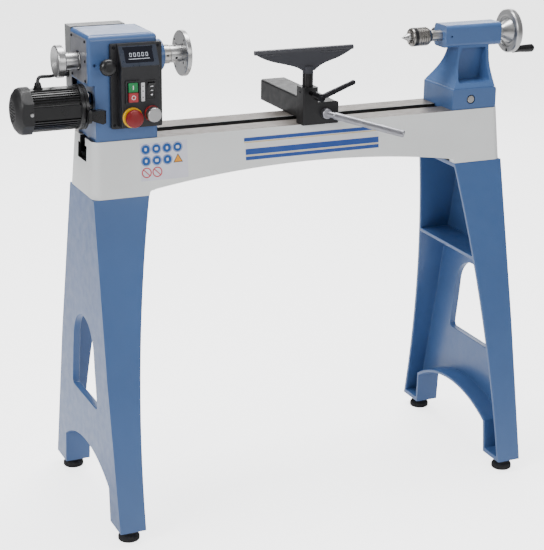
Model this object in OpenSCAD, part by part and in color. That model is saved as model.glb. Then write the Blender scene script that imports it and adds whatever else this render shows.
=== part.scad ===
// Floor-standing wood lathe: cast stand and bed, belt-driven headstock, tool rest on a banjo, tailstock.
// X runs along the bed to the tailstock, Y to the back, Z up from the floor. Lengths are in millimetres.

/* [Stand] */
// Distance between the left and the right feet
leg_span = 1000; // [990:2:1040]
// Distance between the front and the back feet
foot_spread = 430; // [410:2:450]
// Height of the tops of the legs above the floor
leg_top = 776; // [740:2:800]
// Height of the leg castings' lower ends above the floor
foot_lift = 30; // [26:1:36]

/* [Bed] */
// Height of the bed casting
bed_height = 128; // [124:1:136]
// Width over the ground ways
way_width = 152; // [148:1:156]
// Width of the slot between the ways
slot_width = 38; // [37:0.5:39]

/* [Spindle] */
// Height of the spindle axis above the ways
center_height = 171; // [169:1:175]
// Diameter of the faceplate
faceplate_d = 104; // [90:2:120]
// Diameter of the wheel on the outboard end of the spindle
outboard_d = 72; // [66:1:76]

/* [Tool rest] */
// Place of the banjo's bar along the bed
banjo_x = 540; // [500:5:600]
// Length of the tool rest's edge
rest_length = 248; // [200:4:300]
// Diameter of the tool rest's post
post_d = 25; // [24:0.5:26]

/* [Tailstock] */
// Place of the tailstock's clamp along the bed
tail_x = 940; // [900:2:942]
// Diameter of the tailstock's quill
quill_d = 26; // [24:1:28]
// Diameter of the tailstock's handwheel
wheel_d = 107; // [90:1:110]

/* [Hidden] */
$fn = 64;

// Colours
machine_blue = [0.36, 0.50, 0.67];
bed_grey = [0.80, 0.82, 0.83];
black = [0.08, 0.08, 0.09];
dark = [0.16, 0.16, 0.17];
steel = [0.70, 0.71, 0.72];
bright = [0.82, 0.83, 0.84];
box_grey = [0.42, 0.43, 0.43];
plate_grey = [0.60, 0.61, 0.63];

// Shared fits
run_gap = 0.06; // radial clearance of a running fit
seat_gap = 0.02; // radial clearance of a seat that holds
slide_gap = 0.2; // clearance under what slides on the ways

// Heights
bed_top = leg_top + bed_height;
axis_z = bed_top + center_height;
way_under = bed_top - 18;
slide_z = bed_top + slide_gap;

// Bed
way_half = way_width / 2;
pad_half = way_half + 14;
slot_half = slot_width / 2;
bed_over = 19; // how far the bed's top runs past each foot line
pad_over = 25; // the same at the leg pads
pad_inner = 107; // inner end of a leg pad
pad_floor = 14;
tee_half = 31; // half width of the openings in the bed's ends
tee_floor = bed_top - 53;
bed_wall = 14;
arch_rise = 42; // height of the bed's arched underside above the pads
arch_reach = 385; // half length of that arch

// Legs
foot_y = foot_spread / 2;
leg_toe = foot_y + 34.5; // half width of a leg at its lower end
leg_wall = 9;
web_face = -31; // outer face of a leg's web at the foot
web_inner = -14;
shelf_z = 541;
window_top = leg_top - 300;
window_floor = leg_top - 500;
leg_arch_top = 161;

// Headstock casting
head_left = -25;
head_step = -11; // left face below the overhang
head_right = 134;
head_front = -74;
head_back = 57;
head_top = axis_z + 65;
overhang_z = axis_z - 45;
boss_end = 168;
boss_r = 36;
collar_r = 19;
shoulder_r = 21.5;
rear_seat_x = -14;
front_seat_x = 148;

// Belt drive
motor_y = -40;
motor_z = axis_z - 95;
belt_step = 14; // width of one pulley step
step_x = 16; // where the steps start
spindle_steps = [43, 37, 31];
motor_steps = [13, 19, 25];
pivot_y = 38;
pivot_z = axis_z - 110;
plate_x0 = -35.5; // plate that carries the motor
plate_x1 = -28.3;
housing_x0 = -159;
cowl_x0 = -188;
cowl_mouth = -151;
cowl_flat = 46.5; // height of the cowl's flat sides from the motor's axis
cowl_screws = [0, 180];
fin_angles = [25, 33, 41, 49, 57, 65]; // cooling fins between the flat sides of the housing

// Control box
panel_y = -112;
panel_left = 37;
panel_right = 126.5;
panel_floor = axis_z - 135;
panel_bend = axis_z - 2;
panel_top = axis_z + 46;
panel_slope = atan2(26, panel_top - panel_bend);
flange_y = -84;
pair = [62, axis_z - 56]; // centre of the pair of push buttons
toggle = [104.6, axis_z - 54]; // centre of the rocker switch
estop = [61, axis_z - 112];
speed = [106, axis_z - 106];
lock_x = 10;

// Banjo, measured from the middle of its bar and from the spindle's axis plane
bar_half = 34.5;
bar_front = -88;
bar_back = 206;
bar_top = bed_top + 52;
cam_z = bed_top + 26;
post = [banjo_x - 38, -71];
column_top = bed_top + 88;
post_r = post_d / 2;
lever_z = bed_top + 75;
cam_r = 11;
clamp_top = way_under - 0.4;

// Tailstock, measured along the bed from its clamp
tail_left = tail_x - 50.5;
tail_right = tail_x + 70;
barrel_left = tail_x - 50.5;
barrel_right = tail_x + 103.5;
quill_nose = barrel_left - 29.5; // shoulder of the live centre against the quill
quill_r = quill_d / 2;
tail_cam_z = bed_top + 24;
wheel_x = tail_x + 140;
crank_end = wheel_x + 74;
crank = [-6, axis_z - 46]; // axis of the grip on the handwheel

// Middle of the whole machine, so that the origin is on the floor under its centre
mid_x = (cowl_x0 + crank_end) / 2;

// ---------- helpers ----------

module framed() {
  translate([-mid_x, 0, 0]) children();
}

// Lays a shape that stands on Z along X, with its base at the point
module along_x(x, y, z) {
  translate([x, y, z]) rotate([0, 90, 0]) children();
}

// Lays a shape that stands on Z along Y, with its base at the point
module along_y(x, y, z) {
  translate([x, y, z]) rotate([-90, 0, 0]) children();
}

// An outline drawn in Y and Z, drawn out along X
module extrude_x(x0, x1) {
  translate([x0, 0, 0]) rotate([90, 0, 90]) linear_extrude(x1 - x0) children();
}

// An outline drawn in X and Z, drawn out along Y
module extrude_y(y0, y1) {
  translate([0, y1, 0]) rotate([90, 0, 0]) linear_extrude(y1 - y0) children();
}

// An outline drawn in X and Y, drawn out along Z
module extrude_z(z0, z1) {
  translate([0, 0, z0]) linear_extrude(z1 - z0) children();
}

// A round part on the X direction, from [place along X, radius] points
module turned_x(points, y = 0, z = 0) {
  along_x(0, y, z) rotate_extrude() polygon([for (p = points) [p[1], p[0]]]);
}

// A round part on the Y direction, from [place along Y, radius] points
module turned_y(points, x = 0, z = 0) {
  along_y(x, 0, z) rotate_extrude() polygon([for (p = points) [p[1], p[0]]]);
}

module box(x, y, z) {
  translate([x[0], y[0], z[0]]) cube([x[1] - x[0], y[1] - y[0], z[1] - z[0]]);
}

module ring(r_out, r_in, h) {
  difference() {
    cylinder(r = r_out, h = h);
    translate([0, 0, -1]) cylinder(r = r_in, h = h + 2);
  }
}

function unit(v) = v / norm(v);

// Points of the arc that rounds corner b, between a and c
function fillet(a, b, c, r, n) =
  let (
    u = unit(a - b),
    v = unit(c - b),
    half = acos(u * v) / 2,
    middle = b + unit(u + v) * r / sin(half),
    p = b + u * r / tan(half),
    q = b + v * r / tan(half),
    from = atan2(p.y - middle.y, p.x - middle.x),
    to = atan2(q.y - middle.y, q.x - middle.x),
    sweep = (to - from + 540) % 360 - 180
  )
  [for (i = [0:n]) middle + r * [cos(from + sweep * i / n), sin(from + sweep * i / n)]];

// An outline from [x, y, corner radius] points
function rounded(points, n = 6) = [
  for (i = [0:len(points) - 1])
    let (
      count = len(points),
      a = points[(i + count - 1) % count],
      b = points[i],
      c = points[(i + 1) % count]
    )
    each (b[2] == 0 ? [[b.x, b.y]] : fillet([a.x, a.y], [b.x, b.y], [c.x, c.y], b[2], n))
];

// A rectangle with round corners
function plate(x0, y0, x1, y1, r) = rounded([[x0, y0, r], [x1, y0, r], [x1, y1, r], [x0, y1, r]]);

// A point of the curve that four points control
function bend(p, t) =
  pow(1 - t, 3) * p[0] + 3 * t * pow(1 - t, 2) * p[1] + 3 * t * t * (1 - t) * p[2] + pow(t, 3) * p[3];

function curve(p, n) = [for (i = [0:n]) bend(p, i / n)];

// ---------- stand ----------

// Half width of a leg at a height
function leg_half(z) = pad_half + (leg_toe - pad_half) * (leg_top - z) / (leg_top - foot_lift);

// Outline of a leg seen along the bed, drawn in by t
function leg_outline(t, z0, z1) = [
  [-leg_half(z0) + t, z0], [leg_half(z0) - t, z0], [leg_half(z1) - t, z1], [-leg_half(z1) + t, z1],
];

// The opening between a leg's two feet, grown by t
module leg_arch(t) {
  inner = foot_y - 40 + t;
  arch_r = 308 + t;
  intersection() {
    translate([0, leg_arch_top - 308]) circle(r = arch_r, $fn = 180);
    polygon(rounded([
      [-inner, foot_lift - 20, 0], [inner, foot_lift - 20, 0],
      [inner - 9, 124 + t, 20], [inner - 60, 220, 0],
      [-inner + 60, 220, 0], [-inner + 9, 124 + t, 20],
    ]));
  }
}

// The window in a leg's web: straight sides that lean in to a round top
module leg_window() {
  base = 95;
  lean = 8.5;
  top_r = (base - (window_top - window_floor) * tan(lean)) / (1 / cos(lean) - tan(lean));
  top_z = window_top - top_r;
  union() {
    translate([0, top_z]) circle(r = top_r, $fn = 96);
    polygon(rounded([
      [-base, window_floor, 10], [base, window_floor, 10],
      [top_r * cos(lean), top_z + top_r * sin(lean), 0],
      [-top_r * cos(lean), top_z + top_r * sin(lean), 0],
    ]));
  }
}

// Parts of a leg that are as deep as its flanges
module leg_rim() {
  difference() {
    polygon(leg_outline(0, foot_lift, leg_top));
    leg_arch(0);
    difference() {
      polygon(leg_outline(leg_wall, foot_lift + 12, leg_top - 12));
      leg_arch(8);
      translate([-300, shelf_z - 4.5]) square([600, 9]);
    }
  }
}

module leg_web() {
  difference() {
    polygon(leg_outline(0, foot_lift, leg_top));
    leg_arch(0);
    leg_window();
  }
}

// Outline of a leg seen from the front, with its concave inner edge
module leg_side() {
  edge_r = 4050;
  foot_in = 31;
  difference() {
    polygon([
      [web_face, foot_lift], [120, foot_lift], [120, leg_top],
      [-pad_over, leg_top], [web_face, leg_top - 400],
    ]);
    translate([foot_in + edge_r, 0]) circle(r = edge_r, $fn = 256);
  }
}

module leg_bolt_places() {
  for (x = [12, 70], y = [-52, 52]) translate([x, y, 0]) children();
}

module leg() {
  difference() {
    intersection() {
      extrude_y(-leg_toe - 10, leg_toe + 10) leg_side();
      union() {
        extrude_x(web_face - 1, web_inner) leg_web();
        extrude_x(web_face - 1, 115) leg_rim();
      }
    }
    leg_bolt_places() translate([0, 0, leg_top - 20]) cylinder(r = 5.5, h = 30);
    for (side = [-1, 1]) translate([0, side * foot_y, foot_lift - 5]) cylinder(r = 6 + seat_gap, h = 30);
  }
}

module leg_left() {
  color(machine_blue) framed() leg();
}

module leg_right() {
  color(machine_blue) framed() translate([leg_span, 0, 0]) mirror([1, 0, 0]) leg();
}

module both_ends() {
  children();
  translate([leg_span, 0, 0]) mirror([1, 0, 0]) children();
}

module leg_bolts() {
  color(steel) framed() both_ends() leg_bolt_places() {
    translate([0, 0, leg_top - 12 - 6.5]) cylinder(r = 9, h = 6.5, $fn = 6);
    translate([0, 0, leg_top - 13]) cylinder(r = 5, h = 12 + pad_floor - 1);
  }
}

module foot_places() {
  for (x = [0, leg_span], side = [-1, 1]) translate([x, side * foot_y, 0]) children();
}

module foot_pads() {
  color(black) framed() foot_places() rotate_extrude()
    polygon([[0, 0], [23.5, 0], [25, 2], [25, 9], [23, 13], [17, 17], [17, 20], [0, 20]]);
}

module foot_studs() {
  color(steel) framed() foot_places() {
    translate([0, 0, 20]) cylinder(r = 10.5, h = foot_lift - 20, $fn = 6);
    translate([0, 0, foot_lift]) cylinder(r = 6, h = 40);
    translate([0, 0, foot_lift + 12]) cylinder(r = 10.5, h = 9, $fn = 6);
  }
}

// ---------- bed ----------

// The outer shape of the bed: narrower at the ways than at the pads, with round corners
module bed_block() {
  corner = 20;
  hull() {
    for (x = [corner - bed_over, leg_span + bed_over - corner], side = [-1, 1])
      translate([x, side * (way_half - corner), bed_top - 1]) cylinder(r = corner, h = 1, $fn = 32);
    for (x = [corner - pad_over, leg_span + pad_over - corner], side = [-1, 1])
      translate([x, side * (pad_half - corner), leg_top]) cylinder(r = corner, h = 1, $fn = 32);
  }
}

// The space under the bed between its leg pads
module bed_arch() {
  arch_r = (arch_reach * arch_reach + 30 * 30) / 60;
  crown = leg_top + arch_rise;
  intersection() {
    translate([leg_span / 2, crown - arch_r]) circle(r = arch_r, $fn = 256);
    polygon(rounded([
      [pad_inner, leg_top - 40, 0], [leg_span - pad_inner, leg_top - 40, 0],
      [leg_span - pad_inner, leg_top + 11, 8], [leg_span - pad_inner - 12, leg_top + 11, 0],
      [leg_span - pad_inner - 12, crown + 20, 0], [pad_inner + 12, crown + 20, 0],
      [pad_inner + 12, leg_top + 11, 0], [pad_inner, leg_top + 11, 8],
    ]));
  }
}

module bed() {
  color(bed_grey) framed() difference() {
    bed_block();
    extrude_y(-pad_half - 5, pad_half + 5) bed_arch();
    // slot between the ways
    box([-60, leg_span + 60], [-slot_half, slot_half], [way_under - 1, bed_top + 1]);
    // hollow under the ways, cross ribs left standing
    difference() {
      extrude_x(-pad_over + 12, leg_span + pad_over - 12) polygon([
        [-way_half + bed_wall, way_under], [way_half - bed_wall, way_under],
        [pad_half - bed_wall, leg_top - 5], [-pad_half + bed_wall, leg_top - 5],
      ]);
      for (x = [pad_inner, leg_span / 2 - 5, leg_span - pad_inner - 10])
        box([x, x + 10], [-pad_half, pad_half], [leg_top - 10, tee_floor - 6]);
      for (x = [-pad_over, leg_span - pad_inner])
        box([x, x + pad_over + pad_inner], [-pad_half, pad_half], [leg_top - 10, leg_top + pad_floor]);
    }
    // openings in the two ends
    box([-60, leg_span + 60], [-tee_half, tee_half], [tee_floor, way_under]);
    both_ends() leg_bolt_places() translate([0, 0, leg_top - 5]) cylinder(r = 5 + seat_gap, h = 30);
  }
}

// ---------- headstock ----------

module headstock_shell() {
  difference() {
    intersection() {
      extrude_y(head_front, head_back) polygon(rounded([
        [head_left, head_top, 12], [head_right, head_top, 14], [head_right, bed_top, 0],
        [head_step, bed_top, 0], [head_step, overhang_z, 0], [head_left, overhang_z, 0],
      ]));
      extrude_x(head_left - 5, head_right + 5) polygon(rounded([
        [head_front, bed_top, 0], [head_back, bed_top, 0], [head_back, head_top, 12],
        [head_front, head_top, 14],
      ]));
      extrude_z(bed_top - 1, head_top + 1) polygon(plate(head_left, head_front, head_right, head_back, 8));
    }
    extrude_y(head_front + 7, head_back - 8) polygon([
      [-12, head_top - 8], [118, head_top - 8], [118, bed_top + 12], [-3, bed_top + 12],
      [-3, overhang_z + 8], [-12, overhang_z + 8],
    ]);
  }
}

// Screws of the side plate and of the control box, in pairs of coordinates
side_screws = [[-52, 49], [43, 49], [-52, -37], [43, -37], [-52, 6], [43, 6]];
panel_screws = [[29.5, -134], [130.5, -134], [29.5, 38], [130.5, 38]];

module headstock() {
  color(machine_blue) framed() difference() {
    union() {
      headstock_shell();
      // bearing bosses
      turned_x([[head_right - 12, 24], [head_right - 12, boss_r + 6], [head_right, boss_r + 6],
        [head_right + 3, boss_r + 1.5], [head_right + 6, boss_r], [boss_end - 3, boss_r],
        [boss_end, boss_r - 3], [boss_end, 23.5], [boss_end - 4, 24]], 0, axis_z);
      along_x(head_left + 10, 0, axis_z) cylinder(r = 32, h = 18);
      // tongue in the slot of the bed
      box([0, 120], [-slot_half + 0.3, slot_half - 0.3], [bed_top - 8, bed_top + 1]);
      // boss of the motor's pivot and guide of the lock pin
      along_x(plate_x1 + 0.3, pivot_y, pivot_z) cylinder(r = 12, h = head_step - plate_x1 + 4);
      along_y(lock_x, head_front + 5, axis_z) cylinder(r = 9, h = 17);
    }
    // seats of the two bearings
    along_x(rear_seat_x - 0.1, 0, axis_z) cylinder(r = 26 + seat_gap, h = 20);
    along_x(head_left - 5, 0, axis_z) cylinder(r = 21, h = 30);
    along_x(head_right - 20, 0, axis_z) cylinder(r = 31 + seat_gap, h = boss_end - 4 - head_right + 20);
    along_x(boss_end - 10, 0, axis_z) cylinder(r = 23.5, h = 20);
    // recess of the side plate
    extrude_x(head_left - 5, head_left + 3)
      polygon(plate(-62.2, axis_z - 42.2, 52.2, axis_z + 56.2, 5));
    for (s = side_screws) along_x(head_left + 1, s[0], axis_z + s[1]) cylinder(r = 2 + seat_gap, h = 9);
    // slot for the motor's shaft, and its pivot
    extrude_x(head_step - 5, 5) polygon(plate(-58, motor_z - 18, -20, motor_z + 30, 8));
    along_x(plate_x1 - 5, pivot_y, pivot_z) cylinder(r = 6 + seat_gap, h = 21);
    // lock pin, blind hole beside it, wiring holes
    along_y(lock_x, head_front - 5, axis_z) cylinder(r = 4 + run_gap, h = 40);
    along_y(-11, head_front - 1, axis_z) cylinder(r = 3.5, h = 7);
    along_y(82, head_front - 5, axis_z - 20) cylinder(r = 8, h = 20);
    along_y(40, head_back - 15, axis_z + 10) cylinder(r = 8, h = 30);
    for (s = panel_screws) along_y(s[0], head_front - 1, axis_z + s[1]) cylinder(r = 2 + seat_gap, h = 8);
    // bolts down into the bed
    for (x = [30, 95]) translate([x, 0, bed_top - 20]) cylinder(r = 6.6, h = 40);
  }
}

module side_plate() {
  color(plate_grey) framed() difference() {
    extrude_x(head_left, head_left + 3) polygon(plate(-62, axis_z - 42, 52, axis_z + 56, 5));
    along_x(head_left - 5, 0, axis_z) cylinder(r = 22, h = 20);
    for (s = side_screws) along_x(head_left - 5, s[0], axis_z + s[1]) cylinder(r = 2.2, h = 20);
  }
}

// Button-head screw that stands on Z with its head's underside at 0 and its shank below
module small_screw(shank) {
  difference() {
    union() {
      rotate_extrude() polygon([[0, 0], [3.6, 0], [3.3, 1.4], [2, 2.2], [0, 2.2]]);
      translate([0, 0, -shank]) cylinder(r = 2, h = shank + 1);
    }
    translate([0, 0, 1]) cylinder(r = 1.4, h = 2, $fn = 6);
  }
}

module cover_screws() {
  color(dark) framed() {
    for (s = side_screws) translate([head_left, s[0], axis_z + s[1]]) rotate([0, -90, 0]) small_screw(9);
    for (s = panel_screws) translate([s[0], flange_y, axis_z + s[1]]) rotate([90, 0, 0]) small_screw(14);
  }
}

// Grey box of the motor's speed drive, open towards the headstock
module drive_box() {
  x = [-24, 105];
  y = [head_back, 100];
  z = [axis_z - 75, axis_z + 65];
  color(box_grey) framed() difference() {
    extrude_z(z[0], z[1]) polygon(plate(x[0], y[0], x[1], y[1], 2));
    box([x[0] + 2.5, x[1] - 2.5], [y[0] - 1, y[1] - 2.5], [z[0] + 2.5, z[1] - 2.5]);
    along_x(x[0] - 2, 78, axis_z - 43) cylinder(r = 6.1, h = 8);
    for (i = [0:7])
      box([10 + i * 9, 14 + i * 9], [y[1] - 5, y[1] + 1], [z[0] + 20, z[0] + 60]);
    for (i = [0:5])
      box([x[1] - 5, x[1] + 1], [y[0] + 12, y[1] - 10], [z[0] + 30 + i * 9, z[0] + 34 + i * 9]);
  }
}

// A cable gland that stands on Z: thread, hexagon, domed cap and a bore for the cable
module gland(thread) {
  difference() {
    union() {
      translate([0, 0, -thread]) cylinder(r = 6, h = thread + 1);
      cylinder(r = 9, h = 5, $fn = 6);
      translate([0, 0, 5]) rotate_extrude() polygon([[0, 0], [7.4, 0], [7.4, 4], [5.6, 7], [0, 7]]);
    }
    translate([0, 0, -thread - 1]) cylinder(r = 4.3, h = thread + 20);
  }
}

module box_gland() {
  color(dark) framed() translate([-24, 78, axis_z - 43]) rotate([0, -90, 0]) gland(6);
}

module headstock_clamp() {
  color(steel) framed() {
    difference() {
      box([12, 113], [-28, 28], [way_under - 16, way_under]);
      for (x = [30, 95]) translate([x, 0, way_under - 20]) cylinder(r = 6 + seat_gap, h = 30);
    }
    for (x = [30, 95]) translate([x, 0, bed_top]) {
      translate([0, 0, 12]) cylinder(r = 10.4, h = 8, $fn = 6);
      translate([0, 0, -42]) cylinder(r = 6, h = 55);
    }
  }
}

// One race or ball set of a bearing between x0 and x1
module race(x0, x1, r_out, r_in) {
  along_x(x0, 0, axis_z) ring(r_out, r_in, x1 - x0);
}

module balls(x, pitch, r, count) {
  for (i = [0:count - 1])
    translate([x, pitch * cos(i * 360 / count), axis_z + pitch * sin(i * 360 / count)])
      sphere(r = r, $fn = 24);
}

module bearings_outer() {
  color(bright) framed() {
    race(rear_seat_x, rear_seat_x + 15, 26, 23.5);
    race(front_seat_x, front_seat_x + 16, 31, 28);
  }
}

module bearings_inner() {
  color(bright) framed() {
    race(rear_seat_x, rear_seat_x + 15, 15.5, 12.5 + seat_gap);
    balls(rear_seat_x + 7.5, 19.5, 3.8, 10);
    race(front_seat_x, front_seat_x + 16, 19, 15 + seat_gap);
    balls(front_seat_x + 8, 23.5, 4.3, 11);
  }
}

// Spindle with shoulder, threaded nose, taper socket and a bore all the way through
module spindle() {
  nose = 212;
  color(steel) framed() difference() {
    turned_x([
      [-66.5, 5], [-66.5, 12.5], [1, 12.5], [1, 15], [boss_end - 4, 15], [boss_end - 4, 18], [boss_end + 1, 18],
      [boss_end + 1, shoulder_r - 1], [boss_end + 2, shoulder_r], [186, shoulder_r], [187, shoulder_r - 1],
      [187, 16.5], [nose - 1.5, 16.5], [nose, 15.5], [nose, 8.9], [148, 7.4], [148, 5],
    ], 0, axis_z);
    for (a = [0:90:270]) translate([178, 0, axis_z]) rotate([a, 0, 0])
      translate([0, 0, 15]) cylinder(r = 3, h = 10);
  }
}

module spindle_collars() {
  color(bright) framed() {
    turned_x([[-59.8, 12.5 + seat_gap], [-59.8, collar_r - 1], [-58.8, collar_r], [-29, collar_r],
      [-28, collar_r - 1], [-28, 12.5 + seat_gap]], 0, axis_z);
    turned_x([[-27, 12.5 + seat_gap], [-27, collar_r - 1], [-26, collar_r], [-17, collar_r],
      [-14, 14.5], [-14, 12.5 + seat_gap]], 0, axis_z);
  }
}

module spindle_pulley() {
  x1 = step_x + belt_step;
  x2 = x1 + belt_step;
  x3 = x2 + belt_step;
  color(plate_grey) framed() difference() {
    turned_x([
      [4, 15 + seat_gap], [4, 44], [step_x, 44], [step_x, spindle_steps[0]],
      [x1 - 1, spindle_steps[0]], [x1 - 1, 44], [x1, 44],
      [x1, spindle_steps[1]], [x2 - 1, spindle_steps[1]], [x2 - 1, 39], [x2, 39],
      [x2, spindle_steps[2]], [x3 - 1, spindle_steps[2]], [x3 - 1, 33], [x3, 33],
      [x3, 24], [x3 + 10, 24], [x3 + 10, 15 + seat_gap],
    ], 0, axis_z);
    // index holes around the rim
    for (a = [0:15:345]) translate([lock_x, 0, axis_z]) rotate([a, 0, 0])
      translate([0, 0, 32]) cylinder(r = 3, h = 20);
  }
}

module outboard_wheel() {
  r = outboard_d / 2;
  color(bright) framed() turned_x([
    [-60, 12.5 + seat_gap], [-60, r - 4], [-62.5, r], [-76, r], [-78, r - 1.5], [-78, r - 4],
    [-67, 19], [-66, 12.5 + seat_gap],
  ], 0, axis_z);
}

module faceplate() {
  r = faceplate_d / 2;
  color(bright) framed() difference() {
    turned_x([
      [187, 16.5 + run_gap], [187, 19], [188, 20], [214, 20], [214, r - 1.5], [215.5, r],
      [224.5, r], [226, r - 1.5], [226, 11], [212, 11], [212, 16.5 + run_gap],
    ], 0, axis_z);
    for (a = [38:90:308], pitch = [0.56, 0.83]) translate([200, 0, axis_z]) rotate([a, 0, 0])
      translate([0, r * pitch, 0]) rotate([0, 90, 0]) cylinder(r = 2.8, h = 40);
    // two tapped holes for the set screws
    for (a = [20, 110]) translate([200, 0, axis_z]) rotate([a, 0, 0])
      translate([0, 0, 14]) cylinder(r = 3, h = 12);
  }
}

// ---------- belt and motor ----------

// Outline that wraps both pulleys
module belt_outline(r_motor, r_spindle) {
  hull() {
    translate([motor_y, motor_z]) circle(r = r_motor);
    translate([0, axis_z]) circle(r = r_spindle);
  }
}

module drive_belt() {
  color(black) framed() extrude_x(step_x + 1, step_x + belt_step - 2) difference() {
    belt_outline(motor_steps[0] + 3, spindle_steps[0] + 3);
    belt_outline(motor_steps[0] + 0.1, spindle_steps[0] + 0.1);
  }
}

module motor_pulley() {
  x1 = step_x + belt_step;
  x2 = x1 + belt_step;
  x3 = x2 + belt_step;
  color(plate_grey) framed() turned_x([
    [step_x - 2, 7 + seat_gap], [step_x - 2, 17], [step_x, 17], [step_x, motor_steps[0]],
    [x1, motor_steps[0]], [x1, 20.5], [x1 + 1, 20.5], [x1 + 1, motor_steps[1]],
    [x2, motor_steps[1]], [x2, 25.8], [x2 + 1, 25.8], [x2 + 1, motor_steps[2]],
    [x3, motor_steps[2]], [x3, 25.8], [x3 + 1, 25.8], [x3 + 1, 7 + seat_gap],
  ], motor_y, motor_z);
}

flange_bolts = [for (a = [45:90:315]) [motor_y + 43 * cos(a), motor_z + 43 * sin(a)]];

// Swinging plate that carries the motor, with a tab at the front for its grip
module motor_plate() {
  color(black) framed() difference() {
    extrude_x(plate_x0, plate_x1) union() {
      translate([motor_y, motor_z]) circle(r = 50);
      translate([pivot_y, pivot_z]) circle(r = 15);
      polygon([[motor_y, motor_z + 50], [pivot_y + 6, pivot_z + 13.7], [pivot_y - 2, pivot_z - 14.8],
        [motor_y, motor_z - 50]]);
      polygon(plate(-106, motor_z - 26, motor_y, motor_z + 4, 6));
    }
    along_x(plate_x0 - 5, motor_y, motor_z) cylinder(r = 30 + seat_gap, h = 20);
    along_x(plate_x0 - 5, pivot_y, pivot_z) cylinder(r = 6 + run_gap, h = 20);
    for (b = flange_bolts) along_x(plate_x0 - 5, b[0], b[1]) cylinder(r = 3 + seat_gap, h = 20);
  }
}

// Round-ended grip bar that lifts the motor to slacken the belt
module tension_grip() {
  middle = motor_z - 12;
  front = -106;
  nose = 4.5; // right end of the grip
  color(black) framed() intersection() {
    extrude_y(front - 1, -89) polygon([[plate_x1, middle + 12], [-8, middle + 15], [nose, middle + 13],
      [nose, middle - 14], [-4, middle - 17], [-12, middle - 14], [plate_x1, middle - 8]]);
    extrude_z(middle - 20, middle + 20) polygon(rounded([[plate_x1, front + 5, 0], [-14, front, 2],
      [nose, front, 6], [nose, -90, 6], [plate_x1, -90, 0]]));
  }
}

module pivot_pin() {
  color(steel) framed() along_x(plate_x0 - 6.3, pivot_y, pivot_z) {
    cylinder(r = 10, h = 6, $fn = 6);
    cylinder(r = 6, h = 26);
  }
}

// Drive-end shield of the motor, with a spigot in the plate
module motor_end() {
  color(black) framed() difference() {
    turned_x([[-50, 9], [-50, 35.5], [-46, 35.5], [-46, 47], [-44, 50], [plate_x0 - 1.5, 50],
      [plate_x0, 48.5], [plate_x0, 30], [plate_x1 - 2, 30], [plate_x1 - 2, 9]], motor_y, motor_z);
    for (b = flange_bolts) along_x(-44, b[0], b[1]) cylinder(r = 3 + seat_gap, h = 20);
  }
}

// Finned housing with its rear wall
module motor_housing() {
  color(black) framed() difference() {
    union() {
      extrude_x(cowl_mouth + 0.3, -46) difference() {
        union() {
          translate([motor_y, motor_z]) circle(r = 42);
          for (side = [0:90:270]) translate([motor_y, motor_z]) rotate(side) {
            translate([30, -14]) square([15.6, 28]);
            for (a = fin_angles) rotate(a) translate([40, -1.4]) square([6.2, 2.8]);
          }
        }
        translate([motor_y, motor_z]) circle(r = 36);
      }
      along_x(housing_x0, motor_y, motor_z) cylinder(r = 44.2, h = 9);
      // seat of the cable gland
      translate([-128, motor_y + 4, motor_z + 38]) cylinder(r = 11, h = 10);
    }
    along_x(housing_x0 - 5, motor_y, motor_z) cylinder(r = 8, h = 20);
    translate([-128, motor_y + 4, motor_z + 30]) cylinder(r = 6 + seat_gap, h = 30);
    for (a = cowl_screws) translate([housing_x0 + 3, motor_y, motor_z]) rotate([a, 0, 0])
      translate([0, -34, 0]) rotate([90, 0, 0]) cylinder(r = 1.5 + seat_gap, h = 20);
  }
}

// Four flange bolts and the four screws of the fan cowl
module motor_screws() {
  color(bright) framed() {
    for (b = flange_bolts) {
      along_x(plate_x1, b[0], b[1]) cylinder(r = 5.5, h = 2.8, $fn = 6);
      along_x(-43, b[0], b[1]) cylinder(r = 3, h = 43 + plate_x1 + 1);
    }
    for (a = cowl_screws) translate([housing_x0 + 3, motor_y, motor_z]) rotate([a, 0, 0])
      translate([0, -cowl_flat - 0.1, 0]) rotate([90, 0, 0]) {
        rotate_extrude() polygon([[0, 0], [4.2, 0], [4, 1.2], [2.4, 2.1], [0, 2.1]]);
        translate([0, 0, -9]) cylinder(r = 1.5, h = 10);
      }
  }
}

module motor_stator() {
  color(steel) framed() along_x(-118, motor_y, motor_z) ring(36 - seat_gap, 25.5, 56);
}

module motor_rotor() {
  color(steel) framed() {
    turned_x([[-178, 0], [-178, 6.5], [-177, 7], [-122, 7], [-122, 25], [-60, 25], [-60, 8], [-30, 8],
      [-30, 7], [step_x + 3 * belt_step, 7], [step_x + 3 * belt_step, 0]], motor_y, motor_z);
  }
}

module motor_fan() {
  color(dark) framed() difference() {
    union() {
      along_x(-176, motor_y, motor_z) cylinder(r = 13, h = 15);
      along_x(-163, motor_y, motor_z) cylinder(r = 40, h = 2);
      for (a = [0:45:315]) translate([-175, motor_y, motor_z]) rotate([a, 0, 0])
        translate([0, 11, -1]) cube([13, 27, 2]);
    }
    along_x(-182, motor_y, motor_z) cylinder(r = 7 + seat_gap, h = 30);
  }
}

// Prism that gives the cowl its flat sides, drawn in by t
module cowl_prism(t) {
  corner = 49.5 - t;
  extrude_x(cowl_x0 - 1, cowl_mouth + 2) translate([motor_y, motor_z]) intersection() {
    square([2 * (cowl_flat - t), 120], center = true);
    rotate(45) square(2 * corner, center = true);
  }
}

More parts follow.
